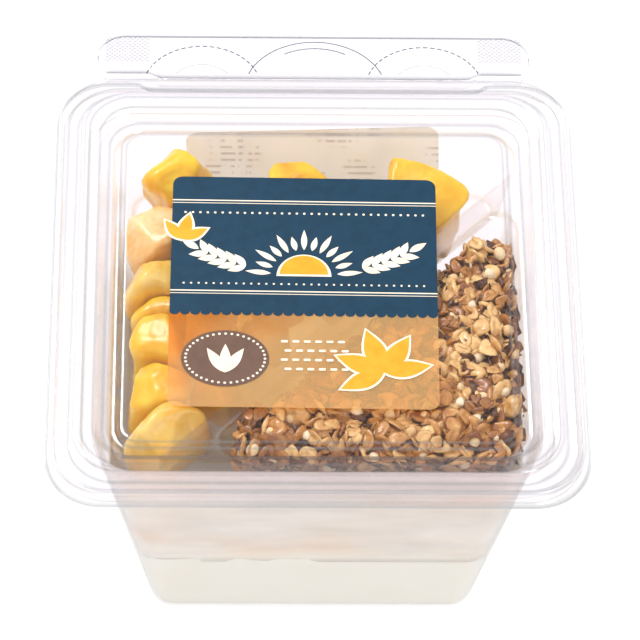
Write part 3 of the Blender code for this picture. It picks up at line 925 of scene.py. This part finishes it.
# %% The fruit's finish
def fruit_finish(name, deep, flesh, pale, shift):
    """Ripe fruit flesh: wet, with light carried under its skin and pale fibres."""
    material, tree = new_material(name)
    patch = object_noise(tree, 7, detail=3, shift=shift)
    fibre = object_noise(tree, 1.3, stretch=(1, 1, 0.18), detail=3, shift=shift)
    colour = ramp(tree, patch, [(0.32, deep), (0.5, flesh), (0.68, pale)])
    lighter = spread(tree, fibre, 0.5, 0.72, 0.0, 0.45)
    colour = blend(tree, lighter, colour, linear(pale))
    normal = roughened(tree, fibre, 0.35, 0.25)
    rough = spread(tree, patch, 0.3, 0.7, 0.28, 0.48)
    shader = add(tree, "ShaderNodeBsdfPrincipled", {
        "Base Color": colour, "Roughness": rough, "Subsurface Weight": 0.35,
        "Subsurface Radius": (1.0, 0.62, 0.16), "Subsurface Scale": 3.5 * MM,
        "Coat Weight": 0.25, "Coat Roughness": 0.12, "Normal": normal,
    })
    finish_material(tree, shader.outputs["BSDF"])
    return material


FRUIT_FINISHES = {
    "fruit_deep": fruit_finish("ripe_flesh_deep", "#E8A000", "#F1BC00", "#F4CC1C", 0.4),
    "fruit_bright": fruit_finish("ripe_flesh_bright", "#E8A808", "#EFBD16", "#F1CB38", 1.3),
    "fruit_pale": fruit_finish("ripe_flesh_pale", "#E8B030", "#ECC246", "#F0D074", 2.6),
    "fruit_peach": fruit_finish("ripe_flesh_peach", "#EFB45C", "#F3CA84", "#F6DCA8", 3.8),
}
print("fruit finishes:", ", ".join(FRUIT_FINISHES))


# %% Rebuild each chunk
CHUNK_SWELL = 0.55            # the chunks press on each other and on the tray
FITTED = {                    # growth, and a shift in mm, for the chunks that show most
    "fruit_back_left": ((1.15, 1.4, 1.1), (-4.0, 4.6, 0.6)),
    "fruit_front_left": ((1.35, 1.15, 1.0), (1.6, 0.0, 0.0)),
    "fruit_left_1": ((1.1, 1.15, 1.0), (0.0, 0.8, 0.0)),
}


def cut_facets(bm, seed, cuts=3):
    """Slice thin caps off a chunk's upper part, as a knife does."""
    chance = random.Random(seed)
    centre = sum((vert.co for vert in bm.verts), Vector()) / len(bm.verts)
    for _ in range(cuts):
        normal = Vector((chance.uniform(-1, 1), chance.uniform(-1, 1), chance.uniform(0.1, 1)))
        normal.normalize()
        reach = max((vert.co - centre).dot(normal) for vert in bm.verts)
        cut = bmesh.ops.bisect_plane(
            bm, geom=bm.verts[:] + bm.edges[:] + bm.faces[:], plane_no=normal,
            plane_co=centre + normal * reach * chance.uniform(0.72, 0.88), clear_outer=True)
        rim = [item for item in cut["geom_cut"] if isinstance(item, bmesh.types.BMEdge)]
        bmesh.ops.edgeloop_fill(bm, edges=rim)


def shared_warp(place):
    """A smooth push, the same for all chunks, so that neighbours bend together."""
    spot = place * 0.065
    return Vector([noise.noise(spot + Vector((shift, 0, shift))) for shift in (0, 17, 41)])


def chunk_from(node, seed):
    """A fine, hand-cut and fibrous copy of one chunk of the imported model."""
    bm = welded(node)
    cut_facets(bm, seed)
    piece = reskinned(node + "_flesh", bm, 0.5, slumps=2)
    low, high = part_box(node)
    centre = (low + high) / 2
    growth, shift = FITTED.get(node, ((1.0, 1.0, 1.0), (0.0, 0.0, 0.0)))
    normals = [vert.normal.copy() for vert in piece.data.vertices]
    for vert, normal in zip(piece.data.vertices, normals):
        vert.co = centre + Vector(shift) * MM + (vert.co - centre) * Vector(growth)
        place = vert.co / MM
        dent = noise.noise(place * 0.16 + Vector((seed, 0, 0)))
        fibre = noise.noise(Vector((place.x * 0.9, place.y * 0.9, place.z * 0.16 + seed)))
        vert.co += normal * (0.3 * dent + 0.12 * fibre + CHUNK_SWELL) * MM
        push = shared_warp(place)
        vert.co += Vector((3.6 * push.x, 4.2 * push.y, 1.2 * push.z)) * MM
    keep_by_walls(piece, 0.25)
    piece.data.shade_smooth()
    return piece


slot_of = {row["node"]: row["material_slot"] for row in frame["record"]["subparts"]}
fruit_nodes = sorted(name for name in frame["nodes"] if name.startswith("fruit_"))
chunks = {}
for seed, node in enumerate(fruit_nodes):
    chunk = chunk_from(node, seed * 3.7)
    chunk.data.materials.clear()
    chunk.data.materials.append(FRUIT_FINISHES[slot_of[node]])
    chunks[node] = chunk
print(len(chunks), "chunks,", sum(len(c.data.polygons) for c in chunks.values()), "faces")

# %% [markdown]
# ## Granola
#
# Granola is a heap of rolled oats, baked clusters and small puffed crisps. A core of
# crumbs fills the pocket, and the real pieces lie over it. The core's dark brown is partly
# the crumbs' own colour and partly painted shade for the gaps between the pieces. Rolled
# oats are oval, cupped and creased, because rollers flatten a steamed grain. A few shapes
# of each kind are made, and Geometry Nodes strews them over the core.

# %% The granola's finishes
def baked_finish(name, dark, golden, pale, glaze=0.2):
    """Oats baked with sugar: golden, browner at random, with a thin glaze."""
    material, tree = new_material(name)
    toast = add(tree, "ShaderNodeAttribute", attribute_name="toast").outputs["Fac"]
    patch = object_noise(tree, 2.6, detail=4)
    mix = calc(tree, "MULTIPLY_ADD", patch, 0.7, calc(tree, "MULTIPLY_ADD", toast, 0.62, 0.0))
    colour = ramp(tree, mix, [(0.3, dark), (0.62, golden), (0.92, pale)])
    grain = object_noise(tree, 0.7, detail=3)
    ridges = object_noise(tree, 1.5, stretch=(1, 0.3, 1), detail=2)
    normal = roughened(tree, calc(tree, "MULTIPLY_ADD", ridges, 1.4, grain), 0.75, 0.35)
    shader = add(tree, "ShaderNodeBsdfPrincipled", {
        "Base Color": colour, "Roughness": 0.5, "Coat Weight": glaze, "Coat Roughness": 0.18,
        "Subsurface Weight": 0.12, "Subsurface Radius": (1.0, 0.5, 0.25),
        "Subsurface Scale": 1.0 * MM, "Normal": normal,
    })
    finish_material(tree, shader.outputs["BSDF"])
    return material


oat_finish = baked_finish("baked_oats", "#834818", "#BE802E", "#F0C580", 0.6)
cluster_finish = baked_finish("baked_clusters", "#7A4215", "#B87A2B", "#EBBF7A", 0.6)
crisp_finish = baked_finish("puffed_crisps", "#DDB070", "#EFD3A0", "#F6E4C0", 0.1)
# The core's finish: crumb brown, made darker as painted shade for the gaps between pieces.
crumb_and_gap_shade_finish = baked_finish("baked_crumbs_and_gap_shade", "#5E381A", "#8A562A", "#AF7A40", 0.2)


# %% Shapes of the loose pieces
def polar_piece(name, rings, sides, shape):
    """A closed lens of rings and sides. shape(reach, angle, side) gives each point."""
    bm = bmesh.new()
    faces_of = []
    for side in (1, -1):
        middle = bm.verts.new(shape(0.0, 0.0, side))
        loops = []
        for ring in range(1, rings + 1):
            if side == -1 and ring == rings:
                loops.append(faces_of[0])
                continue
            loops.append([bm.verts.new(shape(ring / rings, math.tau * k / sides, side))
                          for k in range(sides)])
        if side == 1:
            faces_of.append(loops[-1])
        for k in range(sides):
            after = (k + 1) % sides
            first = (middle, loops[0][k], loops[0][after])
            bm.faces.new(first if side == 1 else first[::-1])
            for inner, outer in zip(loops, loops[1:]):
                quad = (inner[k], outer[k], outer[after], inner[after])
                bm.faces.new(quad if side == 1 else quad[::-1])
    bmesh.ops.scale(bm, vec=(MM, MM, MM), verts=bm.verts)
    return smooth_object(name, bm)


def oat_flake(seed, rings=5, sides=16):
    """A rolled oat: a plump, cupped, pointed oval with a crease and an uneven edge."""
    length = 3.5 + 1.0 * noise.noise(Vector((seed, 0.3, 0)))
    width = 2.5 + 0.8 * noise.noise(Vector((seed, 2.3, 0)))
    cup = 0.7 + 1.2 * noise.noise(Vector((seed, 4.3, 0)))

    def shape(reach, angle, side):
        edge = Vector((math.cos(angle), math.sin(angle), seed))
        uneven = 1 + 0.2 * noise.noise(edge * 1.1)
        x = length * reach * uneven * math.cos(angle)
        y = width * reach * uneven * math.sin(angle) * abs(math.sin(angle)) ** 0.25
        thick = 0.78 * math.sqrt(max(0.0, 1 - reach ** 2.4))
        crease = 0.5 * math.exp(-(y / 0.45) ** 2) * (1 - reach ** 2)
        curl = cup * (y / width) ** 2 - 0.4 * cup * (x / length) ** 2
        swell = 0.6 * noise.noise(Vector((x * 0.5, y * 0.5, seed + 5)))
        return (x, y, curl + swell + side * (thick - (crease if side == 1 else 0)))

    return polar_piece(f"oat_{seed:.0f}", rings, sides, shape)


def lump(name, size, roughness, seed, detail=3, kernels=0.0):
    """A rounded lump: an icosphere pushed out by noise and, in a cluster, by kernels."""
    bm = bmesh.new()
    bmesh.ops.create_icosphere(bm, subdivisions=detail, radius=1.0)
    for vert in bm.verts:
        out = vert.co.normalized()
        broad = noise.noise(out * 1.3 + Vector((seed, 0, 0)))
        fine = noise.noise(out * 3.6 + Vector((0, seed, 0)))
        near = noise.voronoi(out * 1.9 + Vector((seed, seed, 0)))[0][0]
        reach = 1 + roughness * broad + roughness * 0.3 * fine - kernels * min(near, 0.75)
        vert.co = Vector([out[i] * size[i] * reach for i in range(3)]) * MM
    return smooth_object(name, bm)


def cluster(seed):
    """Oats glued by syrup all over a kernelled lump, each lying flat on it."""
    body = lump(f"cluster_{seed}", (4.4, 3.5, 2.7), 0.4, seed * 4.1, 2, 0.6)
    bm = bmesh.new()
    bm.from_mesh(body.data)
    chance = random.Random(seed)
    for index in range(11):
        flake = oat_flake(seed * 20 + index, 4, 11)
        height = 1 - 2 * (index + 0.5) / 11
        around = index * 2.4 + chance.uniform(-0.4, 0.4)
        across = math.sqrt(1 - height * height)
        out = Vector((across * math.cos(around), across * math.sin(around), height))
        place = Vector((out.x * 4.1, out.y * 3.2, out.z * 2.5)) * MM
        turn = out.to_track_quat("Z", "X").to_matrix().to_4x4()
        turn = turn @ Euler((chance.uniform(-0.5, 0.5), chance.uniform(-0.5, 0.5),
                             chance.uniform(0, math.tau))).to_matrix().to_4x4()
        flake.data.transform(Matrix.Translation(place) @ turn @ Matrix.Scale(0.72, 4))
        bm.from_mesh(flake.data)
        bpy.data.objects.remove(flake)
    bm.to_mesh(body.data)
    bm.free()
    body.data.shade_smooth()
    return body


def gathered(name, pieces):
    """A collection that is in no scene: Geometry Nodes picks from it."""
    collection = bpy.data.collections.new(name)
    for piece in pieces:
        collection.objects.link(piece)
    return collection


oats = gathered("oats", [oat_flake(seed) for seed in range(1, 9)])
clusters = gathered("clusters", [cluster(seed) for seed in range(1, 6)])
crisps = gathered("crisps", [lump(f"crisp_{s}", (1.55, 1.4, 1.3), 0.16, s * 2.7, 2)
                             for s in range(1, 4)])
crumbs = gathered("crumbs", [lump(f"crumb_{s}", (1.3, 0.95, 0.6), 0.5, s * 1.9, 1)
                             for s in range(1, 7)])

# %% [markdown]
# The tree below is the strewing itself. It puts points on a bed no closer than a given
# spacing, sets a random piece on each, turned about its own normal and tipped a little,
# and stores a random "toast" on every piece before the pieces are made real, so that
# each flake gets a colour of its own.

# %% The strewing tree
def strewing_tree():
    tree = bpy.data.node_groups.new("strew_over_bed", "GeometryNodeTree")
    sockets = {}
    for name, kind in (("Bed", "Geometry"), ("Pieces", "Collection"), ("Spacing", "Float"),
                       ("Smallest", "Float"), ("Largest", "Float"), ("Tip", "Float"),
                       ("Seed", "Int"), ("Finish", "Material")):
        socket = tree.interface.new_socket(name, in_out="INPUT", socket_type="NodeSocket" + kind)
        sockets[name] = socket.identifier
    tree.interface.new_socket("Strewn", in_out="OUTPUT", socket_type="NodeSocketGeometry")
    given = add(tree, "NodeGroupInput").outputs
    points = add(tree, "GeometryNodeDistributePointsOnFaces", {
        "Mesh": given["Bed"], "Distance Min": given["Spacing"], "Density Max": 4.0e6,
        "Seed": given["Seed"],
    }, distribute_method="POISSON")
    kinds = add(tree, "GeometryNodeCollectionInfo", {
        "Collection": given["Pieces"], "Separate Children": True, "Reset Children": True})
    back = calc(tree, "MULTIPLY", given["Tip"], -1.0)
    lowest = add(tree, "ShaderNodeCombineXYZ", {0: back, 1: back, 2: 0.0})
    highest = add(tree, "ShaderNodeCombineXYZ", {0: given["Tip"], 1: given["Tip"], 2: math.tau})
    turn = add(tree, "FunctionNodeRandomValue", {
        0: lowest.outputs[0], 1: highest.outputs[0], "Seed": given["Seed"],
    }, data_type="FLOAT_VECTOR")
    rotation = add(tree, "FunctionNodeRotateRotation", {
        0: points.outputs["Rotation"], 1: turn.outputs[0]}, rotation_space="LOCAL")
    size = add(tree, "FunctionNodeRandomValue", {
        2: given["Smallest"], 3: given["Largest"], "Seed": given["Seed"]}, data_type="FLOAT")
    placed = add(tree, "GeometryNodeInstanceOnPoints", {
        "Points": points.outputs["Points"], "Instance": kinds.outputs[0],
        "Pick Instance": True, "Rotation": rotation.outputs[0], "Scale": size.outputs[1]})
    shade = add(tree, "FunctionNodeRandomValue", {2: 0.0, 3: 1.0, "Seed": 7}, data_type="FLOAT")
    toasted = add(tree, "GeometryNodeStoreNamedAttribute", {
        "Geometry": placed.outputs[0], "Name": "toast", "Value": shade.outputs[1],
    }, data_type="FLOAT", domain="INSTANCE")
    real = add(tree, "GeometryNodeRealizeInstances", {0: toasted.outputs[0]})
    done = add(tree, "GeometryNodeSetMaterial", {
        "Geometry": real.outputs[0], "Material": given["Finish"]})
    add(tree, "NodeGroupOutput", {0: done.outputs[0]})
    return tree, sockets


strew, strew_sockets = strewing_tree()


def strew_over(name, bed, pieces, finish, spacing, sizes, tip, seed):
    """Run the strewing tree over a bed and return the result as a plain piece."""
    piece = bpy.data.objects.new(name, bed.copy())
    bpy.context.scene.collection.objects.link(piece)
    modifier = piece.modifiers.new("strew", "NODES")
    modifier.node_group = strew
    values = {"Pieces": pieces, "Spacing": spacing * MM, "Smallest": sizes[0],
              "Largest": sizes[1], "Tip": math.radians(tip), "Seed": seed, "Finish": finish}
    for label, value in values.items():
        modifier[strew_sockets[label]] = value
    return apply_modifiers(piece)


print("the tree takes", ", ".join(strew_sockets))

# %% [markdown]
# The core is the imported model's heap, drawn in by a couple of millimetres and roughened.
# What the strewing sets outside the pocket is pressed back to its walls and to the lid.

# %% Build the granola
CORE_DEPTH = 2.1


def build_core():
    core = reskinned("granola_core", welded("granola"), 1.0)
    for vert in core.data.vertices:
        place = vert.co / MM
        rough = noise.noise(place * 0.55) + 0.5 * noise.noise(place * 1.4)
        vert.co += vert.normal * (0.7 * rough - CORE_DEPTH) * MM
    core.data.shade_smooth()
    core.data.materials.clear()
    core.data.materials.append(crumb_and_gap_shade_finish)
    return core


def bed_of(core):
    """The core without its underside, for strewing over."""
    bm = bmesh.new()
    bm.from_mesh(core.data)
    under = [face for face in bm.faces if face.normal.z < -0.3]
    bmesh.ops.delete(bm, geom=under, context="FACES")
    bed = bpy.data.meshes.new("granola_bed")
    bm.to_mesh(bed)
    bm.free()
    return bed


granola_core = build_core()
bed = bed_of(granola_core)
granola_oats = strew_over("granola_oats", bed, oats, oat_finish, 3.3, (0.8, 1.08), 32, 3)
granola_clusters = strew_over("granola_clusters", bed, clusters, cluster_finish,
                              8.0, (0.7, 1.1), 60, 11)
granola_crumbs = strew_over("granola_crumbs", bed, crumbs, oat_finish, 4.4, (0.5, 0.85), 80, 31)
granola_crisps = strew_over("granola_crisps", bed, crisps, crisp_finish, 5.5, (0.8, 1.25), 90, 21)
for strewn in (granola_oats, granola_clusters, granola_crumbs, granola_crisps):
    keep_by_walls(strewn, 0.15, -1)
    print(strewn.name, "has", len(strewn.data.polygons), "faces")
for collection in (oats, clusters, crisps, crumbs):
    for loose in list(collection.objects):
        bpy.data.objects.remove(loose, do_unlink=True)
    bpy.data.collections.remove(collection)

# %% [markdown]
# ## The front label
#
# A sheet of clear film lies on the lid's panel. It is printed with a dark blue field
# whose lower edge is scalloped, over a see-through orange. The drawing on it is made up
# for this part: a rising sun between two ears of grain, a sprig of orange leaves and a
# brown badge. Each ink is a thin plate on the film, cut to its shapes, so that edges
# stay crisp at any distance, as they do in print.

# %% Inks and film
def ink_finish(name, colour, worn):
    """Screen ink on film: satin, with a slight unevenness in the lay of the ink."""
    material, tree = new_material(name)
    lay = object_noise(tree, 3.0, detail=3)
    tone = ramp(tree, lay, [(0.35, worn), (0.6, colour)])
    normal = roughened(tree, object_noise(tree, 0.8), 0.08, 0.05)
    shader = add(tree, "ShaderNodeBsdfPrincipled", {
        "Base Color": tone, "Roughness": 0.5, "Specular IOR Level": 0.15, "Normal": normal})
    finish_material(tree, shader.outputs["BSDF"])
    return material


def film_tint_finish(name):
    """Clear label film, tinted orange under the blue field and fading out lower down."""
    material, tree = new_material(name)
    place = add(tree, "ShaderNodeTexCoord").outputs["Object"]
    along = add(tree, "ShaderNodeVectorMath", {
        0: place, 1: (-0.55 / (60 * MM), 0.85 / (60 * MM), 0.0)}, operation="DOT_PRODUCT")
    cloud = object_noise(tree, 9.0, detail=2)
    depth = calc(tree, "MULTIPLY_ADD", cloud, 0.3, along.outputs["Value"])
    tint = ramp(tree, depth, [(0.0, "#FDECCF"), (0.22, "#FAD69C"), (0.4, "#F4B866")])
    tone = ramp(tree, depth, [(0.0, "#F2CB92"), (0.3, "#EFA643")])
    solid = add(tree, "ShaderNodeBsdfPrincipled", {
        "Base Color": tone, "Roughness": 0.3, "Specular IOR Level": 0.3})
    clear = add(tree, "ShaderNodeBsdfTransparent", {"Color": tint})
    finish_material(tree, mix_shaders(tree, 0.28, clear.outputs["BSDF"], solid.outputs["BSDF"]))
    return material


label_film_finish = film_tint_finish("orange_label_film")
INKS = {
    "navy": ink_finish("navy_ink", "#163B52", "#14364B"),
    "cream": ink_finish("cream_ink", "#F6E9D6", "#F1E1CA"),
    "orange": ink_finish("orange_ink", "#F2A930", "#EB9F28"),
    "brown": ink_finish("brown_ink", "#6F5549", "#685044"),
}
print("inks:", ", ".join(INKS))


# %% Outlines for the print, in mm from the label's middle
LABEL_WIDE, LABEL_DEEP = 64.0, 69.0
LABEL_MIDDLE = Vector((-3.0, -2.4))
LABEL_TURN = math.radians(-0.7)
LABEL_LEVEL = PANEL_TOP + GAP
SCALLOPS = 26
FIELD_FOOT = -6.6             # the blue field ends here, at the foot of its scallops
LABEL_CORNER = 2.4


def oval(middle, wide, deep, count=24):
    return [(middle[0] + wide * math.cos(math.tau * k / count),
             middle[1] + deep * math.sin(math.tau * k / count)) for k in range(count)]


def half_oval(middle, wide, deep, count=24):
    return [(middle[0] + wide * math.cos(math.pi * k / count),
             middle[1] + deep * math.sin(math.pi * k / count)) for k in range(count + 1)]


def bar(x0, y0, x1, y1, corner=0.12):
    points = [(x1, y0), (x1, y1), (x0, y1), (x0, y0)]
    return rounded_outline(points, [corner] * 4, 3)


def leaf(base, angle, length, width, count=10):
    """A pointed leaf that starts at base and runs along angle."""
    along = Vector((math.cos(angle), math.sin(angle)))
    across = Vector((-along.y, along.x))
    outline = []
    for side in (-1, 1):
        for step in range(count):
            share = step / count if side == -1 else 1 - step / count
            bulge = width / 2 * math.sin(math.pi * share ** 0.85)
            outline.append(Vector(base) + along * length * share + across * side * bulge)
    return outline


def blue_field():
    """Rounded at the top, with a row of half-round scallops along its foot."""
    left, right = -LABEL_WIDE / 2, LABEL_WIDE / 2
    top = LABEL_DEEP / 2
    outline = []
    pitch = LABEL_WIDE / SCALLOPS
    for index in range(SCALLOPS):
        for step in range(7):
            angle = math.pi + math.pi * step / 6
            outline.append((left + pitch * (index + 0.5 + 0.5 * math.cos(angle)),
                            FIELD_FOOT + pitch * 0.45 * math.sin(angle)))
    for corner_x, start in ((right - LABEL_CORNER, 0.0), (left + LABEL_CORNER, math.pi / 2)):
        for step in range(7):
            angle = start + math.pi / 2 * step / 6
            outline.append((corner_x + LABEL_CORNER * math.cos(angle),
                            top - LABEL_CORNER + LABEL_CORNER * math.sin(angle)))
    return outline


def ear_of_grain(start, heading, length, grains, grain_size):
    """Pairs of grains along a gently bent stem, and one at its tip."""
    shapes = []
    spot, angle = Vector(start), heading
    turn_each = 0.055 * (1 if math.cos(heading) > 0 else -1)
    for index in range(grains):
        for side in (-1, 1):
            shapes.append(leaf(spot, angle + side * 0.62, grain_size, grain_size * 0.42))
        spot = spot + Vector((math.cos(angle), math.sin(angle))) * length / grains
        angle += turn_each
    shapes.append(leaf(spot, angle, grain_size * 1.1, grain_size * 0.42))
    return shapes


def sprig(base, heading, length, leaves, spread_angle):
    """Leaves fanned out from one point: the shapes and, a little larger, their edging."""
    inner, edging = [], []
    for index in range(leaves):
        share = index / (leaves - 1) - 0.5
        angle = heading + share * spread_angle
        reach = length * (1 - 0.25 * abs(share))
        inner.append(leaf(base, angle, reach, reach * 0.4))
        direction = Vector((math.cos(angle), math.sin(angle)))
        edging.append(leaf(Vector(base) - direction * 0.7, angle, reach + 1.5, reach * 0.4 + 1.3))
    return inner, edging


print("the blue field's outline has", len(blue_field()), "points")


# %% Print the label
def on_label(point):
    turned = Matrix.Rotation(LABEL_TURN, 2) @ Vector(point)
    return turned + LABEL_MIDDLE


def printed(name, outlines, level, finish, thick=0.03):
    """Thin plates of one ink, standing on a level above the panel."""
    bm = bmesh.new()
    for order, outline in enumerate(outlines):
        height = level + 0.004 * (order % 5)     # leaves that overlap keep apart
        add_plate(bm, [(*on_label(point), height) for point in outline], thick)
    bmesh.ops.recalc_face_normals(bm, faces=bm.faces)
    bmesh.ops.triangulate(bm, faces=bm.faces)
    return mesh_piece(name, bm, finish, smooth_angle=30)


def double_rule(y):
    edge = LABEL_WIDE / 2
    return [bar(-edge, y, edge, y + 0.35), bar(-edge, y - 0.75, edge, y - 0.55, 0.08)]


SUN = (0.0, 4.2)
cream, orange, edging = [], [], []
for rule in (27.0, -0.6):
    cream += double_rule(rule)
for ray in range(13):
    angle = math.radians(6 + 168 * ray / 12)
    reach = 6.2 if ray % 2 == 0 else 4.4
    start = Vector(SUN) + Vector((math.cos(angle), math.sin(angle))) * 8.0
    cream.append(leaf(start, angle, reach, 1.5))
for side in (-1, 1):
    heading = math.radians(18) if side > 0 else math.radians(162)
    cream += ear_of_grain((side * 14.0, 7.0), heading, 12.5, 5, 4.6)
for k in range(33):
    cream.append(oval((-28.8 + 1.8 * k, 23.4), 0.32, 0.32, 10))
    cream.append(oval((-28.8 + 1.8 * k, 1.8), 0.28, 0.28, 10))
edging.append(half_oval(SUN, 6.6, 6.6))
orange.append(half_oval((SUN[0], SUN[1] + 0.6), 5.8, 5.6))
for base, heading, length, leaves, fan in (((19.0, -24.0), 1.9, 13.0, 5, 3.4),
                                           ((-29.5, 15.0), 1.35, 8.0, 3, 1.7)):
    shapes, edges = sprig(base, heading, length, leaves, fan)
    orange += shapes
    edging += edges
BADGE = (-18.5, -20.5)
badge = [oval(BADGE, 10.4, 8.2, 48)]
badge_marks = [oval((BADGE[0] + 9.4 * math.cos(math.tau * k / 40),
                     BADGE[1] + 7.2 * math.sin(math.tau * k / 40)), 0.34, 0.34, 8)
               for k in range(40)]
for tilt in (-0.55, 0.0, 0.55):
    badge_marks.append(leaf((BADGE[0], BADGE[1] - 4.2), math.pi / 2 - tilt, 8.4, 2.7))
stitches = []
for row in range(4):
    for k in range(6):
        x = -5.4 + 2.7 * k + (0.9 if row % 2 else 0.0)
        stitches.append(bar(x, -15.6 - 2.7 * row, x + 1.7, -14.9 - 2.7 * row, 0.3))

film_outline = rounded_outline(
    [(LABEL_WIDE / 2, -LABEL_DEEP / 2), (LABEL_WIDE / 2, LABEL_DEEP / 2),
     (-LABEL_WIDE / 2, LABEL_DEEP / 2), (-LABEL_WIDE / 2, -LABEL_DEEP / 2)],
    [LABEL_CORNER] * 4, 8)
print_pieces = [
    printed("label_film", [film_outline], LABEL_LEVEL, label_film_finish, 0.12),
    printed("label_blue_field", [blue_field()], LABEL_LEVEL + 0.13, INKS["navy"]),
    printed("label_cream", cream + stitches, LABEL_LEVEL + 0.17, INKS["cream"]),
    printed("label_edging", edging, LABEL_LEVEL + 0.21, INKS["cream"]),
    printed("label_orange", orange, LABEL_LEVEL + 0.25, INKS["orange"]),
    printed("label_badge", badge, LABEL_LEVEL + 0.21, INKS["brown"]),
    printed("label_badge_marks", badge_marks, LABEL_LEVEL + 0.25, INKS["cream"]),
]
print("the label has", len(cream + stitches + edging + orange + badge_marks), "printed shapes")

# %% [markdown]
# ## The back label
#
# A paper label is stuck on the outside of the leaning rear wall, a little crooked. From
# the front we see its blank side through the tub, with the rows of print just showing
# through the paper. The rows are bands across Object coordinates, broken up by noise,
# and a Translucent shader carries the light that comes through from behind.

# %% Build the back label
def paper_finish(name):
    material, tree = new_material(name)
    place = add(tree, "ShaderNodeTexCoord").outputs["Object"]
    height = add(tree, "ShaderNodeSeparateXYZ", {"Vector": place}).outputs["Z"]
    line = calc(tree, "SINE", calc(tree, "MULTIPLY", height, math.tau / (2.1 * MM)))
    rows = spread(tree, line, 0.25, 0.6)
    words = spread(tree, object_noise(tree, 1.5, stretch=(1, 1, 0.05), detail=1), 0.5, 0.56)
    area = spread(tree, object_noise(tree, 16, stretch=(1, 1, 1.5), detail=0, shift=4), 0.46, 0.52)
    mark = rows
    for share in (words, area, 0.3):
        mark = calc(tree, "MULTIPLY", mark, share)
    paper = ramp(tree, object_noise(tree, 12, detail=2), [(0.3, "#F5F1E4"), (0.7, "#F8F7EE")])
    colour = blend(tree, mark, paper, linear("#A08D86"))
    normal = roughened(tree, object_noise(tree, 0.4, detail=2), 0.15, 0.05)
    shader = add(tree, "ShaderNodeBsdfPrincipled", {
        "Base Color": colour, "Roughness": 0.6, "Normal": normal})
    glow = add(tree, "ShaderNodeBsdfTranslucent", {"Color": colour})
    finish_material(tree, mix_shaders(tree, 0.8, shader.outputs["BSDF"], glow.outputs["BSDF"]))
    return material


BACK_WIDE, BACK_DEEP, BACK_CORNER = 63.0, 48.0, 3.4


def build_back_label():
    lean = math.atan(TUB_DRAFT)
    height = LEDGE_UNDER - BACK_DEEP / 2 - 2.4
    away = (GAP + 0.05) / math.cos(lean)
    wide, deep = BACK_WIDE / 2, BACK_DEEP / 2
    points = [(wide, -deep), (wide, deep), (-wide, deep), (-wide, -deep)]
    outline = rounded_outline(points, [BACK_CORNER, 3.0, 3.0, 3.0], 6)
    bm = bmesh.new()
    add_plate(bm, [(*point, 0.0) for point in outline], 0.12)
    bmesh.ops.recalc_face_normals(bm, faces=bm.faces)
    tilt = Matrix.Rotation(-math.pi / 2 - lean, 4, "X") @ Matrix.Rotation(math.radians(-2.4), 4, "Z")
    bm.transform(Matrix.Translation((0.6, tub_half(height) + away, height)) @ tilt)
    return mesh_piece("back_label_paper", bm, paper_finish("label_paper"), smooth_angle=30)


back_label = build_back_label()
print("back label is", BACK_WIDE, "by", BACK_DEEP, "mm")

# %% [markdown]
# ## Floor and light
#
# The pack stands on a light table: a white surface that glows a little, under a broad
# white room. Two soft boxes give the fruit its wet highlights and the granola its
# shadows, one behind on the left and a weaker one in front on the right.

# %% Build the stage
def light_table():
    material, tree = new_material("white_light_table")
    soft = object_noise(tree, 400, detail=1)
    tone = ramp(tree, soft, [(0.3, "#9B9B9B"), (0.7, "#A0A0A0")])
    matte = add(tree, "ShaderNodeBsdfDiffuse", {"Color": tone})
    glow = add(tree, "ShaderNodeEmission", {"Color": linear("#FFFFFF"), "Strength": 0.76})
    both = add(tree, "ShaderNodeAddShader", {0: matte.outputs[0], 1: glow.outputs[0]})
    finish_material(tree, both.outputs[0])
    bm = bmesh.new()
    bmesh.ops.create_grid(bm, x_segments=1, y_segments=1, size=1500)
    table = mesh_piece("floor", bm, material)
    return table


def soft_box(name, place, size, watts):
    lamp = bpy.data.lights.new(name, "AREA")
    lamp.shape = "DISK"
    lamp.size = size
    lamp.energy = watts
    box = bpy.data.objects.new(name, lamp)
    box.location = place
    box.rotation_euler = (Vector((0, 0, 0.05)) - Vector(place)).to_track_quat("-Z", "Y").to_euler()
    bpy.context.scene.collection.objects.link(box)
    return box


light_table()
soft_box("key_light", (-0.3, 0.4, 0.8), 0.35, 5.0)
soft_box("fill_light", (0.35, -0.7, 0.45), 0.4, 2.4)
world = bpy.data.worlds.new("white_room")
world.use_nodes = True
world.node_tree.nodes["Background"].inputs["Color"].default_value = (1, 1, 1, 1)
world.node_tree.nodes["Background"].inputs["Strength"].default_value = 0.86
bpy.context.scene.world = world
bpy.context.scene.view_settings.view_transform = "Standard"
bpy.context.scene.cycles.transparent_max_bounces = 32
print("stage ready")

# %% [markdown]
# ## Hand the pieces to the frame
#
# Nothing moves on a sealed pack, so every piece rides on the one body. Each piece says
# which imported solid it stands for and which slot it takes its finish from.

# %% Ride and replace
HANDOVER = [
    (lid_shell, "lid", "clear_pet"), (tub_shell, "tub", "clear_pet"),
    (tray_shell, "insert_tray", "clear_pet"), (tear_strip, "tear_strip", "clear_pet"),
    (yogurt_body, "yogurt", "yogurt"), (yogurt_film, None, "yogurt"),
    (granola_core, "granola", "granola"), (granola_oats, None, "granola"),
    (granola_clusters, None, "granola"), (granola_crumbs, None, "granola"),
    (granola_crisps, None, "granola"),
    (back_label, "back_label", "back_label"), (strip_marks, None, "clear_pet"),
]
HANDOVER += [(chunk, node, slot_of[node]) for node, chunk in chunks.items()]
HANDOVER += [(piece, "front_label" if piece.name == "label_film" else None, "front_label")
             for piece in print_pieces]
for piece, node, slot in HANDOVER:
    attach(piece, "root")
    if node:
        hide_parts(node)

print("pieces handed over:", len(HANDOVER))
